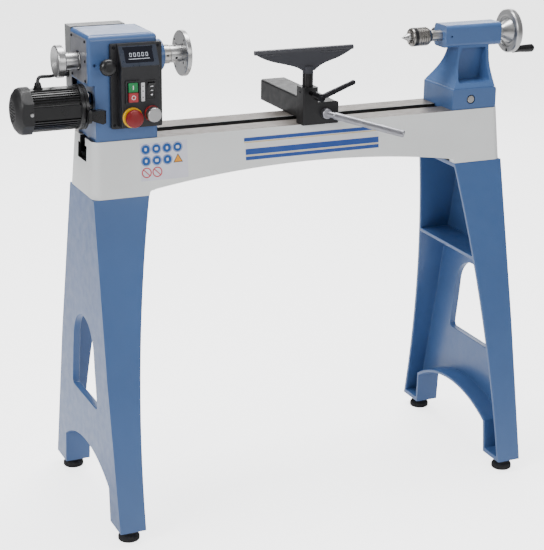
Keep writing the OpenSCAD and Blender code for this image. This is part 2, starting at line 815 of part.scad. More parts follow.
module fan_cowl() {
  wall = 2;
  holes = 6; // holes in the grille's first ring
  color(black) framed() difference() {
    intersection() {
      turned_x([[cowl_mouth, 0], [cowl_mouth, 52], [-169, 52], [-176, 49.5], [-183, 41], [-187, 31],
        [cowl_x0, 26], [cowl_x0, 0]], motor_y, motor_z);
      cowl_prism(0);
    }
    intersection() {
      turned_x([[cowl_mouth + 1, 0], [cowl_mouth + 1, 52 - wall], [-168.5, 52 - wall], [-175, 47.6],
        [-181.5, 39.8], [-185.2, 30], [cowl_x0 + 2.5, 25], [cowl_x0 + 2.5, 0]], motor_y, motor_z);
      cowl_prism(wall);
    }
    for (k = [1:3], i = [0:holes * k - 1]) translate([cowl_x0 - 1, motor_y, motor_z])
      rotate([i * 360 / (holes * k), 0, 0]) translate([0, k * 6.8, 0]) rotate([0, 90, 0]) cylinder(r = 2.3, h = 5);
    for (a = cowl_screws) translate([housing_x0 + 3, motor_y, motor_z]) rotate([a, 0, 0])
      translate([0, -40, 0]) rotate([90, 0, 0]) cylinder(r = 1.6, h = 20);
  }
}

module motor_gland() {
  color(dark) framed() translate([-128, motor_y + 4, motor_z + 48]) gland(5);
}

// Route of the motor's cable, from its gland up and back to the drive box
cable_r = 3.8;
cable_route = [
  [-128, -36, 1032], [-128, -36, 1040], [-126, -33, 1046], [-119, -25, 1049], [-104, -9, 1046],
  [-86, 13, 1041], [-68, 40, 1037], [-54, 62, 1034], [-46, 74, 1032], [-38, 78, 1032], [-26, 78, 1032],
];

function lift(p) = [p.x, p.y, p.z - 1075 + axis_z];

// A point of the smooth line through the route, i counting its points
function on_route(p, i, t) =
  let (
    n = len(p) - 1,
    a = p[max(i - 1, 0)],
    b = p[i],
    c = p[min(i + 1, n)],
    d = p[min(i + 2, n)]
  )
  0.5 * (2 * b + (c - a) * t + (2 * a - 5 * b + 4 * c - d) * t * t + (3 * b - a - 3 * c + d) * t * t * t);

function line_through(p, steps) = concat(
  [for (i = [0:len(p) - 2], k = [0:steps - 1]) on_route(p, i, k / steps)], [p[len(p) - 1]]);

function heading(p, i) = unit(p[min(i + 1, len(p) - 1)] - p[max(i - 1, 0)]);

// A tube of the given radius along a line, with flat ends
module tube_along(line, r, sides = 8) {
  n = len(line);
  rings = [for (i = [0:n - 1])
    let (along = heading(line, i), across = unit(cross(along, [-1, 1, 1])), over = cross(along, across))
    for (k = [0:sides - 1])
      line[i] + r * (cos(k * 360 / sides) * across + sin(k * 360 / sides) * over)];
  walls = [for (i = [0:n - 2], k = [0:sides - 1])
    [i * sides + k, i * sides + (k + 1) % sides, (i + 1) * sides + (k + 1) % sides, (i + 1) * sides + k]];
  first = [for (k = [0:sides - 1]) sides - 1 - k];
  last = [for (k = [0:sides - 1]) (n - 1) * sides + k];
  polyhedron(points = rings, faces = concat(walls, [first], [last]));
}

module motor_cable() {
  color(black) framed() tube_along([for (p = line_through(cable_route, 2)) lift(p)], cable_r);
}

// ---------- control box ----------

// Outline of the box in Y and Z, drawn in by t: upright front, display slope, flat top
function panel_outline(t) = [
  [panel_y + t, panel_floor + t], [flange_y + 20, panel_floor + t], [flange_y + 20, panel_top - t],
  [panel_y + 26 + t * 0.6, panel_top - t], [panel_y + t, panel_bend - t * 0.25],
];

// Places a shape on the display slope: x along the bed, y into the box, z up the slope
module on_slope() {
  translate([0, panel_y, panel_bend]) rotate([-panel_slope, 0, 0]) children();
}

module control_box() {
  color(black) framed() difference() {
    union() {
      extrude_y(flange_y, head_front)
        polygon(plate(22.5, axis_z - 142, 140.5, panel_top, 4));
      intersection() {
        extrude_x(panel_left, panel_right) polygon(panel_outline(0));
        extrude_z(panel_floor - 1, panel_top + 1)
          polygon(plate(panel_left, panel_y, panel_right, head_front - 1, 3));
      }
    }
    intersection() {
      extrude_x(panel_left + 2.5, panel_right - 2.5) polygon(panel_outline(2.5));
      box([0, 200], [panel_y, head_front + 1], [0, 2000]);
    }
    box([pair[0] - 14.8, pair[0] + 14.8], [panel_y - 1, panel_y + 5], [pair[1] - 23.3, pair[1] + 23.3]);
    box([toggle[0] - 9.8, toggle[0] + 9.8], [panel_y - 1, panel_y + 5], [toggle[1] - 20.3, toggle[1] + 20.3]);
    along_y(estop[0], panel_y - 1, estop[1]) cylinder(r = 12.2, h = 6);
    along_y(speed[0], panel_y - 1, speed[1]) cylinder(r = 4.2, h = 6);
    on_slope() box([panel_left + 9.8, panel_right - 9.8], [-1, 1.6], [7.8, 47.2]);
    on_slope() box([panel_left + 15, panel_right - 15], [-1, 6], [12, 43]);
    for (s = panel_screws) along_y(s[0], flange_y - 1, axis_z + s[1]) cylinder(r = 2.1, h = 12);
  }
}

module display_window() {
  color([0.05, 0.06, 0.09]) framed() on_slope()
    box([panel_left + 10, panel_right - 10], [-0.2, 1.5], [8, 47]);
}

// A frame around a switch, with a snap body that goes into the box
module switch_frame(at, w, h, t, hole_w, hole_h) {
  difference() {
    union() {
      extrude_y(panel_y - t, panel_y) polygon(plate(at.x - w / 2, at.y - h / 2, at.x + w / 2, at.y + h / 2, 1.5));
      box([at.x - hole_w / 2 - 1.5, at.x + hole_w / 2 + 1.5], [panel_y - 1, panel_y + 20],
        [at.y - hole_h / 2 - 1.5, at.y + hole_h / 2 + 1.5]);
    }
    box([at.x - hole_w / 2, at.x + hole_w / 2], [panel_y - t - 1, panel_y + 18],
      [at.y - hole_h / 2, at.y + hole_h / 2]);
  }
}

module switch_frames() {
  color(dark) framed() {
    switch_frame(pair, 33, 51, 4, 26, 43);
    switch_frame(toggle, 22.5, 44, 2, 16.4, 37);
  }
}

// A square push button: dz is its place above the middle of its frame
module push_button(dz, reach) {
  at = [pair.x, pair.y + dz];
  union() {
    extrude_y(panel_y - reach, panel_y + 4) polygon(plate(at.x - 10.4, at.y - 10.2, at.x + 10.4, at.y + 10.2, 1.2));
    box([at.x - 4, at.x + 4], [panel_y + 3, panel_y + 12], [at.y - 4, at.y + 4]);
  }
}

module on_button() {
  color([0.10, 0.55, 0.30]) framed() push_button(10.8, 6);
}

module off_button() {
  color([0.75, 0.15, 0.12]) framed() push_button(-10.8, 8);
}

// Rocker paddle: two faces that lean to the middle, tipped to its upper side, on a round pivot
module rocker() {
  tip = 7;
  half = 7.5;
  pivot = [2.2, 8];
  color([0.06, 0.06, 0.06]) framed() translate([toggle[0], panel_y + 2, toggle[1]]) {
    rotate([tip, 0, 0]) extrude_x(-half, half)
      polygon([[-6, -17.2], [-4, 0], [-6, 17.2], [-1, 17.2], [6, 5], [6, -5], [-1, -17.2]]);
    along_x(-pivot[1], 0, 0) cylinder(r = pivot[0], h = 2 * pivot[1]);
  }
}

// Ring under the stop button and ring under the speed knob
module panel_rings() {
  color([0.95, 0.78, 0.10]) framed() turned_y([[panel_y, 12.2], [panel_y, 22.5], [panel_y - 4, 22.5],
    [panel_y - 5, 21.5], [panel_y - 5, 12.2]], estop[0], estop[1]);
  color([0.75, 0.08, 0.12]) framed() turned_y([[panel_y, 5], [panel_y, 17.5], [panel_y - 2.5, 17.5],
    [panel_y - 3, 17], [panel_y - 3, 5]], speed[0], speed[1]);
}

module estop_button() {
  y = panel_y;
  color([0.80, 0.08, 0.12]) framed() turned_y([[y + 14, 0], [y + 14, 11.6], [y - 10, 11.6], [y - 10, 18],
    [y - 12, 20], [y - 17, 20], [y - 21, 18], [y - 23, 13], [y - 24, 6], [y - 24, 0]], estop[0], estop[1]);
}

module speed_knob() {
  y = panel_y;
  color(bright) framed() difference() {
    turned_y([[y + 16, 0], [y + 16, 3], [y - 4, 3], [y - 4, 16], [y - 21, 15.4], [y - 22, 14.5], [y - 22, 0]],
      speed[0], speed[1]);
    along_y(speed[0] - 6.5, y - 23, speed[1] - 5.5) cylinder(r = 1.4, h = 2);
  }
}

module lock_bush() {
  color(dark) framed() along_y(lock_x, head_front - 6, axis_z) difference() {
    cylinder(r = 10, h = 6, $fn = 6);
    translate([0, 0, -1]) cylinder(r = 4 + run_gap, h = 10);
  }
}

// Spring-free index pin with a round knob; its tip reaches the holes of the pulley
module lock_pin() {
  color(black) framed() turned_y([
    [-116, 0], [-116, 9], [-114.5, 14], [-111, 17.5], [-106, 19], [-101, 18], [-96, 14], [-92, 9], [-90, 8],
    [-90, 4], [-58, 4], [-56, 2.6], [-46, 2.6], [-45.2, 1.8], [-45.2, 0],
  ], lock_x, axis_z);
}

// ---------- tool rest ----------

// The bar has a pocket underneath for the cam block; the column in front holds the post
module banjo() {
  x0 = banjo_x - bar_half;
  x1 = banjo_x + bar_half;
  color(dark) framed() difference() {
    union() {
      extrude_y(bar_front, bar_back) polygon(rounded([[x0, slide_z, 2], [x1, slide_z, 2],
        [x1, bar_top, 8], [x0, bar_top, 5]]));
      extrude_z(slide_z, column_top)
        polygon(plate(post.x - 19, bar_front - 2, post.x + 19, post.y + 20, 3));
      extrude_z(slide_z, bar_top - 2)
        polygon(rounded([[post.x - 19, bar_front - 2, 3], [x1, bar_front - 2, 4], [x1, bar_front + 10, 0],
          [post.x - 19, bar_front + 10, 0]]));
    }
    // pocket of the cam block, open below
    box([banjo_x - 16, banjo_x + 16], [-48, bar_back - 18], [slide_z - 1, bar_top - 9]);
    // bore of the cam's shaft
    along_y(banjo_x, bar_front - 10, cam_z) cylinder(r = cam_r + run_gap, h = bar_back - bar_front + 2);
    // socket of the tool rest's post, and the tapped hole of its lever
    translate([post.x, post.y, bed_top + 10]) cylinder(r = post_r + run_gap, h = 100);
    along_y(post.x, bar_front - 10, lever_z) cylinder(r = 5 + run_gap, h = 20);
    along_x(post.x - 25, post.y, lever_z) cylinder(r = 3, h = 20);
  }
}

// Eye bolt on the cam's shaft: it hangs through the slot and carries the clamp plate on a nut
module cam_block() {
  color(steel) framed() {
    difference() {
      box([banjo_x - 15, banjo_x + 15], [-21, 21], [bed_top + 6, bar_top - 9.4]);
      along_y(banjo_x, -30, cam_z) cylinder(r = cam_r + run_gap, h = 60);
    }
    translate([banjo_x, 0, clamp_top - 30]) cylinder(r = 8, h = bed_top + 7 - clamp_top + 30);
    translate([banjo_x, 0, clamp_top - 26.2]) cylinder(r = 13, h = 10, $fn = 6);
  }
}

// Clamp plate under the ways, kept square to the bed by its tongue
module banjo_clamp() {
  color(steel) framed() difference() {
    union() {
      box([banjo_x - 34, banjo_x + 34], [-28, 28], [clamp_top - 16, clamp_top]);
      box([banjo_x - 20, banjo_x + 20], [-slot_half + 0.4, slot_half - 0.4], [clamp_top - 1, bed_top - 4]);
    }
    translate([banjo_x, 0, clamp_top - 30]) cylinder(r = 8 + run_gap, h = 60);
  }
}

// Cam shaft through the whole bar, and the lever in its front end
module cam_handle() {
  reach = [150, -102, -39];
  grip = norm(reach);
  color(bright) framed() {
    turned_y([[bar_front - 16, 0], [bar_front - 16, 10], [bar_front - 14, 12], [bar_front - 2.4, 12],
      [bar_front - 2.4, cam_r], [bar_back - 12, cam_r], [bar_back - 12, 0]], banjo_x, cam_z);
    translate([banjo_x, bar_front - 10, cam_z]) rotate([0, acos(reach.z / grip), atan2(reach.y, reach.x)])
      rotate_extrude() polygon([[0, 0], [7, 0], [7, 16], [8.6, 20], [8.6, grip - 4], [7.6, grip - 1],
        [5.5, grip], [0, grip]]);
  }
}

// Round post that slides in the banjo's socket; its reduced top fits the blade's boss
module rest_post() {
  top = axis_z - 52;
  color(dark) framed() translate([post.x, post.y, 0]) {
    translate([0, 0, bed_top + 34]) cylinder(r = post_r, h = top - bed_top - 34);
    translate([0, 0, top - 1]) cylinder(r = 7, h = 11);
  }
}

// Blade with a rod along its top edge and a boss that turns on the post
module tool_rest() {
  lean = -10; // the blade reaches further to the left of its post
  right = lean + rest_length / 2;
  left = lean - rest_length / 2;
  low = axis_z - 46;
  rise = 46;
  color(black) framed() difference() {
    union() {
      extrude_y(post.y - 5, post.y + 5) translate([post.x, 0]) polygon(concat(
        curve([[15, low], [30, low + 15], [right * 0.44, low + 19], [right * 0.65, low + 26]], 7),
        curve([[right * 0.7, low + 28.5], [right * 0.82, low + 34], [right * 0.93, low + 41],
          [right - 1, low + rise]], 5),
        curve([[left + 1, low + rise], [left * 0.94, low + 39], [left * 0.81, low + 31],
          [left * 0.67, low + 25.5]], 5),
        curve([[left * 0.63, low + 24], [left * 0.38, low + 15.5], [-30, low + 12], [-14, low]], 7)
      ));
      along_x(post.x + left, post.y, low + rise + 2) cylinder(r = 5.6, h = rest_length);
      translate([post.x, post.y, low - 5.8]) cylinder(r = post_r, h = 16);
    }
    translate([post.x, post.y, low - 10]) cylinder(r = 7 + run_gap, h = 14.5);
  }
}

// Ratchet lever that clamps the post: stud, hub and tapered arm
module rest_lever() {
  hub_y = bar_front - 62;
  arm = [82, 30];
  color(dark) framed() {
    along_y(post.x, hub_y + 2, lever_z) cylinder(r = 5, h = post.y - post_r - hub_y - 2.5);
    turned_y([[hub_y, 0], [hub_y, 7], [hub_y + 1.5, 9], [hub_y + 30, 9.6], [hub_y + 36, 7.5], [hub_y + 36, 0]],
      post.x, lever_z);
    translate([post.x, hub_y + 8, lever_z]) rotate([0, 90 - atan2(arm.y, arm.x), 0]) rotate_extrude()
      polygon([[0, 0], [6.4, 0], [5.2, norm(arm) - 8], [5.8, norm(arm) - 6], [5.8, norm(arm) + 1],
        [3.5, norm(arm) + 4], [0, norm(arm) + 4]]);
  }
}

// ---------- tailstock ----------

// Half width of the pedestal: wide at the base and hollowed out towards the barrel
pedestal_curve = concat(
  [[70, bed_top + 52]],
  curve([[66, bed_top + 58], [45, bed_top + 88], [26, bed_top + 105], [24, axis_z - 24]], 10)
);

module tailstock() {
  pocket_x0 = tail_x - 33;
  pocket_x1 = tail_x + 56;
  color(machine_blue) framed() difference() {
    union() {
      // base
      intersection() {
        extrude_x(tail_left, tail_right) polygon(rounded([[-74, slide_z, 0], [70, slide_z, 0],
          [70, bed_top + 52, 3], [-74, bed_top + 52, 3]]));
        extrude_y(-80, 80) polygon(rounded([[tail_left, slide_z, 0], [tail_right, slide_z, 0],
          [tail_right, bed_top + 52, 8], [tail_left, bed_top + 52, 5]]));
      }
      // pedestal
      intersection() {
        extrude_x(tail_left - 1, tail_right + 1)
          polygon(concat(pedestal_curve, [for (i = [len(pedestal_curve) - 1:-1:0])
            [-pedestal_curve[i].x - 3, pedestal_curve[i].y]]));
        extrude_y(-80, 80) polygon(concat(
          [[tail_left, bed_top + 48]],
          curve([[tail_left + 1, bed_top + 49], [tail_left + 20, bed_top + 76], [tail_left + 32, bed_top + 108],
            [tail_left + 38, axis_z - 22]], 8),
          curve([[tail_right + 4, axis_z - 22], [tail_right - 1, bed_top + 110],
            [tail_right - 5, bed_top + 76], [tail_right - 4, bed_top + 50]], 6)
        ));
      }
      // barrel
      extrude_x(barrel_left, barrel_right)
        polygon(rounded([[-30, axis_z - 27.5, 11], [30, axis_z - 27.5, 11], [30, axis_z + 27, 10],
          [-30, axis_z + 27, 10]]));
      // tongue in the slot
      box([tail_left + 4, tail_right - 4], [-slot_half + 0.4, slot_half - 0.4], [bed_top - 6, bed_top + 2]);
    }
    // pockets in the front and the back of the pedestal
    for (side = [-1, 1]) extrude_y(side > 0 ? 8 : -90, side > 0 ? 90 : -8) polygon(rounded([
      [pocket_x0, bed_top + 62, 7], [pocket_x1, bed_top + 62, 7],
      [pocket_x1 + 8, axis_z - 30, 6], [pocket_x0 + 28, axis_z - 30, 6],
    ]));
    // pocket of the clamp in the base
    box([tail_x - 22, tail_x + 22], [-40, 40], [bed_top - 20, bed_top + 44]);
    // cam shaft, and the recess at its front end
    along_y(tail_x, -90, tail_cam_z) cylinder(r = 9 + run_gap, h = 180);
    along_y(tail_x, -80, tail_cam_z) cylinder(r = 11.5, h = 12);
    // quill bore, thrust bore, screw hole and lock
    along_x(barrel_left - 5, 0, axis_z) cylinder(r = quill_r + run_gap, h = 145);
    along_x(barrel_right - 15, 0, axis_z) cylinder(r = 8.6, h = 30);
    along_y(tail_x - 35, 5, axis_z) cylinder(r = 4 + run_gap, h = 40);
    along_y(tail_x - 35, -40, axis_z) cylinder(r = 2.4, h = 25);
  }
}

module tail_clamp() {
  color(steel) framed() {
    difference() {
      box([tail_x - 18, tail_x + 18], [-16, 16], [bed_top + 4, bed_top + 42]);
      along_y(tail_x, -30, tail_cam_z) cylinder(r = 9 + run_gap, h = 60);
    }
    translate([tail_x, 0, clamp_top - 1]) cylinder(r = 8, h = bed_top + 6 - clamp_top);
    box([tail_x - 34, tail_x + 34], [-28, 28], [clamp_top - 16, clamp_top]);
  }
}

// Shaft across the base with a steel end in front and the clamp lever at the back
module tail_cam() {
  lever = [40, 96];
  back = 76;
  color(steel) framed() {
    turned_y([[-75, 0], [-75, 8], [-74, 9], [back, 9], [back, 14], [back + 18, 14], [back + 20, 12],
      [back + 20, 0]], tail_x, tail_cam_z);
    translate([tail_x, back + 10, tail_cam_z]) rotate([0, 90 - atan2(lever.y, lever.x), 0])
      rotate_extrude() polygon([[0, 0], [5, 0], [5, norm(lever) - 27], [9, norm(lever) - 25],
        [10, norm(lever) - 3], [6, norm(lever) + 1], [0, norm(lever) + 1]]);
  }
}

module quill() {
  front = quill_nose + 1;
  color(steel) framed() difference() {
    turned_x([[front, 9], [front, quill_r - 1], [front + 1, quill_r], [front + 154, quill_r],
      [front + 154, 8.06], [front + 134, 8.06], [front + 134, 9.4], [front + 72, 9.4],
      [front + 70, 7.4]], 0, axis_z);
    box([front + 60, front + 140], [-2, 2], [axis_z + quill_r - 1.2, axis_z + quill_r + 2]);
  }
}

module center_body() {
  x = quill_nose;
  r = 22.4;
  color(steel) framed() turned_x([
    [x + 64, 0], [x + 64, 7.3], [x, 8.85], [x, 14.5], [x - 1, 16], [x - 4, 17.5], [x - 5, 19], [x - 9, 21.6],
    [x - 11, r],
    for (i = [0:3])
      each [[x - 14 - i * 6, r], [x - 14.8 - i * 6, r - 1.6], [x - 16.2 - i * 6, r - 1.6], [x - 17 - i * 6, r]],
    [x - 40, r], [x - 40.4, r - 0.5], [x - 41, r + 0.2], [x - 50, r + 0.2], [x - 53, r - 2],
    [x - 54.5, r - 5], [x - 54.5, r - 6.5], [x - 50, 12], [x - 50, 10.3], [x - 26, 10.3], [x - 26, 0],
  ], 0, axis_z);
}

module center_point() {
  x = quill_nose;
  color(bright) framed() turned_x([[x - 78.5, 0], [x - 59, 10], [x - 26.5, 10], [x - 26.5, 0]], 0, axis_z);
}

// Feed screw with the handwheel on it
module tail_wheel() {
  r = wheel_d / 2;
  x = wheel_x;
  neck = 15;
  color(bright) framed() difference() {
    turned_x([
      [barrel_left + 54, 0], [barrel_left + 54, 7.4], [barrel_left + 55, 8], [barrel_right + 0.3, 8],
      [barrel_right + 0.3, neck - 1], [barrel_right + 1.3, neck], [x - 22, neck], [x, 31], [x, 37],
      [x - 4, 38.5], [x - 4.5, 40], [x - 4.5, r - 2.5], [x - 2, r], [x + 9.5, r], [x + 12, r - 2.5],
      [x + 12, r - 9], [x + 6, 36], [x + 4, 26], [x + 13, 14], [x + 13, 0],
    ], 0, axis_z);
    along_x(x - 10, crank.x, crank.y) cylinder(r = 4 + run_gap, h = 30);
  }
}

// Turning grip on its own pin in the handwheel
module crank_grip() {
  x = wheel_x + 12.4;
  color(black) framed() turned_x([[x - 9, 0], [x - 9, 4], [x, 4], [x, 7.5], [x + 1.5, 9], [x + 20, 8.6],
    [x + 46, 10], [crank_end - 5, 10], [crank_end - 1, 7], [crank_end, 3], [crank_end, 0]],
    crank.x, crank.y);
}

module quill_lock() {
  color(black) framed() turned_y([[quill_r + 0.6, 0], [quill_r + 0.6, 4], [31, 4], [31, 8], [33, 11],
    [55, 11], [58, 8], [58, 0]], tail_x - 35, axis_z);
}

// ---------- the nodes ----------

bed();
leg_left();
leg_right();
leg_bolts();
foot_pads();
foot_studs();
headstock();
side_plate();
cover_screws();
drive_box();
box_gland();
headstock_clamp();
bearings_outer();
bearings_inner();
spindle();
spindle_collars();
spindle_pulley();
outboard_wheel();
faceplate();
drive_belt();
motor_plate();
tension_grip();
pivot_pin();
motor_end();
motor_housing();
motor_screws();
motor_stator();
motor_rotor();
motor_pulley();
motor_fan();
fan_cowl();
motor_gland();
motor_cable();
control_box();
display_window();
switch_frames();
on_button();
off_button();
rocker();
panel_rings();
estop_button();
speed_knob();
lock_bush();
lock_pin();
banjo();
cam_block();
banjo_clamp();
cam_handle();
rest_post();
tool_rest();
rest_lever();
tailstock();
tail_clamp();
tail_cam();
quill();
center_body();
center_point();
tail_wheel();
crank_grip();
quill_lock();
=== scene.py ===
"""Looks of the wood lathe: materials on every CAD node, and the small pieces that CAD leaves out.

Blender's objects are in metres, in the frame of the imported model. Small pieces are sized in millimetres and
placed with at(), which counts from the left feet, the spindle's plane and the floor. Where it can be, a place
is worked out from the boxes of the CAD nodes.
"""

import math

import bmesh
import bpy
from mathutils import Matrix, Vector
from mathutils.bvhtree import BVHTree


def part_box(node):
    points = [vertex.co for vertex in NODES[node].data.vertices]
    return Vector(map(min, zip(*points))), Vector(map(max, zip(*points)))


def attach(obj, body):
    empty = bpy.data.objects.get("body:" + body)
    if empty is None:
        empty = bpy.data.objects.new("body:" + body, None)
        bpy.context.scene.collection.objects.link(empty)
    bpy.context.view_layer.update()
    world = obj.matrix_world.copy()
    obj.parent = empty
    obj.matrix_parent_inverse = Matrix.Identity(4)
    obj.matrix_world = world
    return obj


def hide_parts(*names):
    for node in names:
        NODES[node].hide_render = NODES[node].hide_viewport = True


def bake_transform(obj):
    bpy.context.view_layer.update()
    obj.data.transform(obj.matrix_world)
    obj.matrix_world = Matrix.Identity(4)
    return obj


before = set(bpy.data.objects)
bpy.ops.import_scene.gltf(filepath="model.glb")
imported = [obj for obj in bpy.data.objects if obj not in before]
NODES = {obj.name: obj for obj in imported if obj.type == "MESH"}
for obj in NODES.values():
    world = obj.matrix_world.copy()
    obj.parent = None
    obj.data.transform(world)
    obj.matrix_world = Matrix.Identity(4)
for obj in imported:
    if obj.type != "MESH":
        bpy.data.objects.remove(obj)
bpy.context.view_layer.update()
MM = 0.001
X, Y, Z = Vector((1, 0, 0)), Vector((0, 1, 0)), Vector((0, 0, 1))

FOOT_PAD_RADIUS = 25
LEFT_FEET_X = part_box("foot_pads")[0].x + FOOT_PAD_RADIUS * MM


def srgb(red, green, blue):
    """A linear colour from the 0 to 255 values that a colour picker shows."""

    def linear(value):
        value /= 255
        return value / 12.92 if value <= 0.04045 else ((value + 0.055) / 1.055) ** 2.4

    return (linear(red), linear(green), linear(blue), 1.0)


# ---------- materials ----------


class Shader:
    """A material's node tree with one Principled shader, and short ways to add nodes to it.
    A pattern's scale is how often it repeats in a metre, more or less."""

    def __init__(self, name, color, roughness, metallic=0.0, **constants):
        self.material = bpy.data.materials.new(name)
        self.material.use_nodes = True
        self.nodes = self.material.node_tree.nodes
        self.links = self.material.node_tree.links
        self.surface = self.nodes["Principled BSDF"]
        self.set("Base Color", color)
        self.set("Roughness", roughness)
        self.set("Metallic", metallic)
        for socket, value in constants.items():
            self.set(socket.replace("_", " "), value)
        self.place = self.nodes.new("ShaderNodeTexCoord").outputs["Object"]
        self.normal = None

    def set(self, socket, value):
        self.surface.inputs[socket].default_value = value

    def join(self, source, target):
        self.links.new(source, target)

    def scaled(self, factors):
        """The place with each axis multiplied, to stretch a pattern."""
        mapping = self.nodes.new("ShaderNodeMapping")
        mapping.inputs["Scale"].default_value = factors
        self.join(self.place, mapping.inputs["Vector"])
        return mapping.outputs["Vector"]

    def noise(self, scale, detail=3.0, rough=0.5, place=None):
        node = self.nodes.new("ShaderNodeTexNoise")
        node.inputs["Scale"].default_value = scale
        node.inputs["Detail"].default_value = detail
        node.inputs["Roughness"].default_value = rough
        self.join(place or self.place, node.inputs["Vector"])
        return node.outputs[0]

    def cells(self, scale, place=None):
        node = self.nodes.new("ShaderNodeTexVoronoi")
        node.inputs["Scale"].default_value = scale
        self.join(place or self.place, node.inputs["Vector"])
        return node.outputs["Distance"]

    def bands(self, scale, axis="X", distortion=0.0):
        """Straight bands along an axis of the object."""
        node = self.nodes.new("ShaderNodeTexWave")
        node.wave_type = "BANDS"
        node.bands_direction = axis
        node.inputs["Scale"].default_value = scale
        node.inputs["Distortion"].default_value = distortion
        node.inputs["Detail"].default_value = 2.0
        self.join(self.place, node.inputs["Vector"])
        return node.outputs["Fac"]

    def spread(self, value, low, high, new_low=0.0, new_high=1.0):
        """Maps low to high onto new_low to new_high, and clamps what is outside."""
        node = self.nodes.new("ShaderNodeMapRange")
        numbers = {"From Min": low, "From Max": high, "To Min": new_low, "To Max": new_high}
        for socket, number in numbers.items():
            node.inputs[socket].default_value = number
        self.join(value, node.inputs["Value"])
        return node.outputs["Result"]

    def blend(self, factor, first, second):
        """Mixes two colours, each a constant or an output."""
        node = self.nodes.new("ShaderNodeMix")
        node.data_type = "RGBA"
        self.join(factor, node.inputs[0])
        for index, color in ((6, first), (7, second)):
            if isinstance(color, tuple):
                node.inputs[index].default_value = color
            else:
                self.join(color, node.inputs[index])
        return node.outputs[2]

    def math(self, operation, first, second):
        node = self.nodes.new("ShaderNodeMath")
        node.operation = operation
        node.use_clamp = True
        for index, value in enumerate((first, second)):
            if isinstance(value, (int, float)):
                node.inputs[index].default_value = value
            else:
                self.join(value, node.inputs[index])
        return node.outputs[0]

    def parts(self, vector):
        """The three numbers of a vector."""
        node = self.nodes.new("ShaderNodeSeparateXYZ")
        self.join(vector, node.inputs[0])
        return [node.outputs[axis] for axis in "XYZ"]

    def between(self, value, low, high, fade=0.0003):
        """1 where the value is between two numbers, 0 outside."""
        rising = self.spread(value, low - fade, low)
        falling = self.spread(value, high, high + fade, 1.0, 0.0)
        return self.math("MULTIPLY", rising, falling)

    def both(self, *masks):
        result = masks[0]
        for mask in masks[1:]:
            result = self.math("MULTIPLY", result, mask)
        return result

    def either(self, *masks):
        result = masks[0]
        for mask in masks[1:]:
            result = self.math("MAXIMUM", result, mask)
        return result

    def color(self, output):
        self.join(output, self.surface.inputs["Base Color"])

    def roughness(self, output):
        self.join(output, self.surface.inputs["Roughness"])

    def bump(self, height, strength, depth):
        """Adds relief of that depth, in metres, on top of what is there."""
        node = self.nodes.new("ShaderNodeBump")
        node.inputs["Strength"].default_value = strength
        node.inputs["Distance"].default_value = depth
        self.join(height, node.inputs["Height"])
        if self.normal:
            self.join(self.normal, node.inputs["Normal"])
        self.normal = node.outputs["Normal"]
        self.join(self.normal, self.surface.inputs["Normal"])


def shade(color, factor):
    """The colour made lighter or darker by a factor."""
    return tuple(min(1.0, c * factor) for c in color[:3]) + (1.0,)


def paint(name, color, roughness=0.36, cast=0.5, coat=0.35):
    """Enamel on cast iron: an uneven skin over the grain of the casting, with dust specks and a few pits that
    are sunk by a bump and darkened with painted shade.
    """
    s = Shader(name, color, roughness, Coat_Weight=coat, Coat_Roughness=0.16, Specular_IOR_Level=0.4)
    broad = s.spread(s.noise(5.0, 2.0), 0.35, 0.65)
    tone = s.blend(broad, shade(color, 0.96), shade(color, 1.04))
    specks = s.spread(s.noise(420.0, 2.0), 0.62, 0.72, 0.0, 0.35)
    tone = s.blend(specks, tone, shade(color, 0.86))
    pits = s.spread(s.cells(140.0), 0.05, 0.09, 1.0, 0.0)
    chosen = s.spread(s.noise(18.0, 1.0), 0.60, 0.64)
    pitted = s.both(pits, chosen)
    # Painted shade: the pits' colour is darkened to seven tenths of the paint.
    s.color(s.blend(pitted, tone, shade(color, 0.7)))
    s.roughness(s.spread(s.noise(45.0, 3.0), 0.3, 0.7, roughness - 0.05, roughness + 0.09))
    s.bump(s.noise(70.0, 3.0), cast * 0.6, 0.0005)
    s.bump(s.noise(700.0, 2.0), cast * 0.5, 0.00012)
    s.bump(pitted, 0.3, -0.0003)
    return s.material


def powder(name, color, roughness=0.45):
    """Powder-coated sheet: an even skin of small orange peel."""
    s = Shader(name, color, roughness)
    s.color(s.blend(s.spread(s.noise(9.0), 0.35, 0.65), shade(color, 0.92), shade(color, 1.08)))
    s.roughness(s.spread(s.noise(60.0), 0.3, 0.7, roughness - 0.06, roughness + 0.08))
    s.bump(s.noise(1400.0, 2.0), 0.35, 0.00015)
    return s.material


def turned(name, color, roughness, axis="X", pitch=110.0, marks=0.16):
    """Metal turned on a lathe: fine rings around the axis, and soft stains."""
    s = Shader(name, color, roughness, 1.0)
    tone, rings = turned_tone(s, color, axis, pitch, marks)
    s.color(tone)
    s.roughness(s.spread(rings, 0.0, 1.0, roughness - 0.03, roughness + 0.05))
    return s.material


def turned_tone(s, color, axis="X", pitch=110.0, marks=0.16):
    """The colour of turned metal, and the height of its rings."""
    rings = s.bands(pitch, axis, 0.3)
    stains = s.spread(s.noise(24.0, 3.0), 0.35, 0.7)
    tone = s.blend(stains, shade(color, 1.02), shade(color, 0.94))
    return s.blend(s.spread(rings, 0.0, 1.0, 0.0, marks), tone, shade(color, 0.72)), rings


def ringed_steel(name, color, dark, zones):
    """Turned steel with blackened zones between given distances along X."""
    s = Shader(name, color, 0.3)
    tone, rings = turned_tone(s, color)
    along = s.parts(s.place)[0]
    mask = s.either(*[s.between(along, low, high) for low, high in zones])
    s.color(s.blend(mask, tone, dark))
    s.join(s.spread(mask, 0.0, 1.0, 1.0, 0.0), s.surface.inputs["Metallic"])
    s.roughness(s.spread(rings, 0.0, 1.0, 0.26, 0.36))
    return s.material


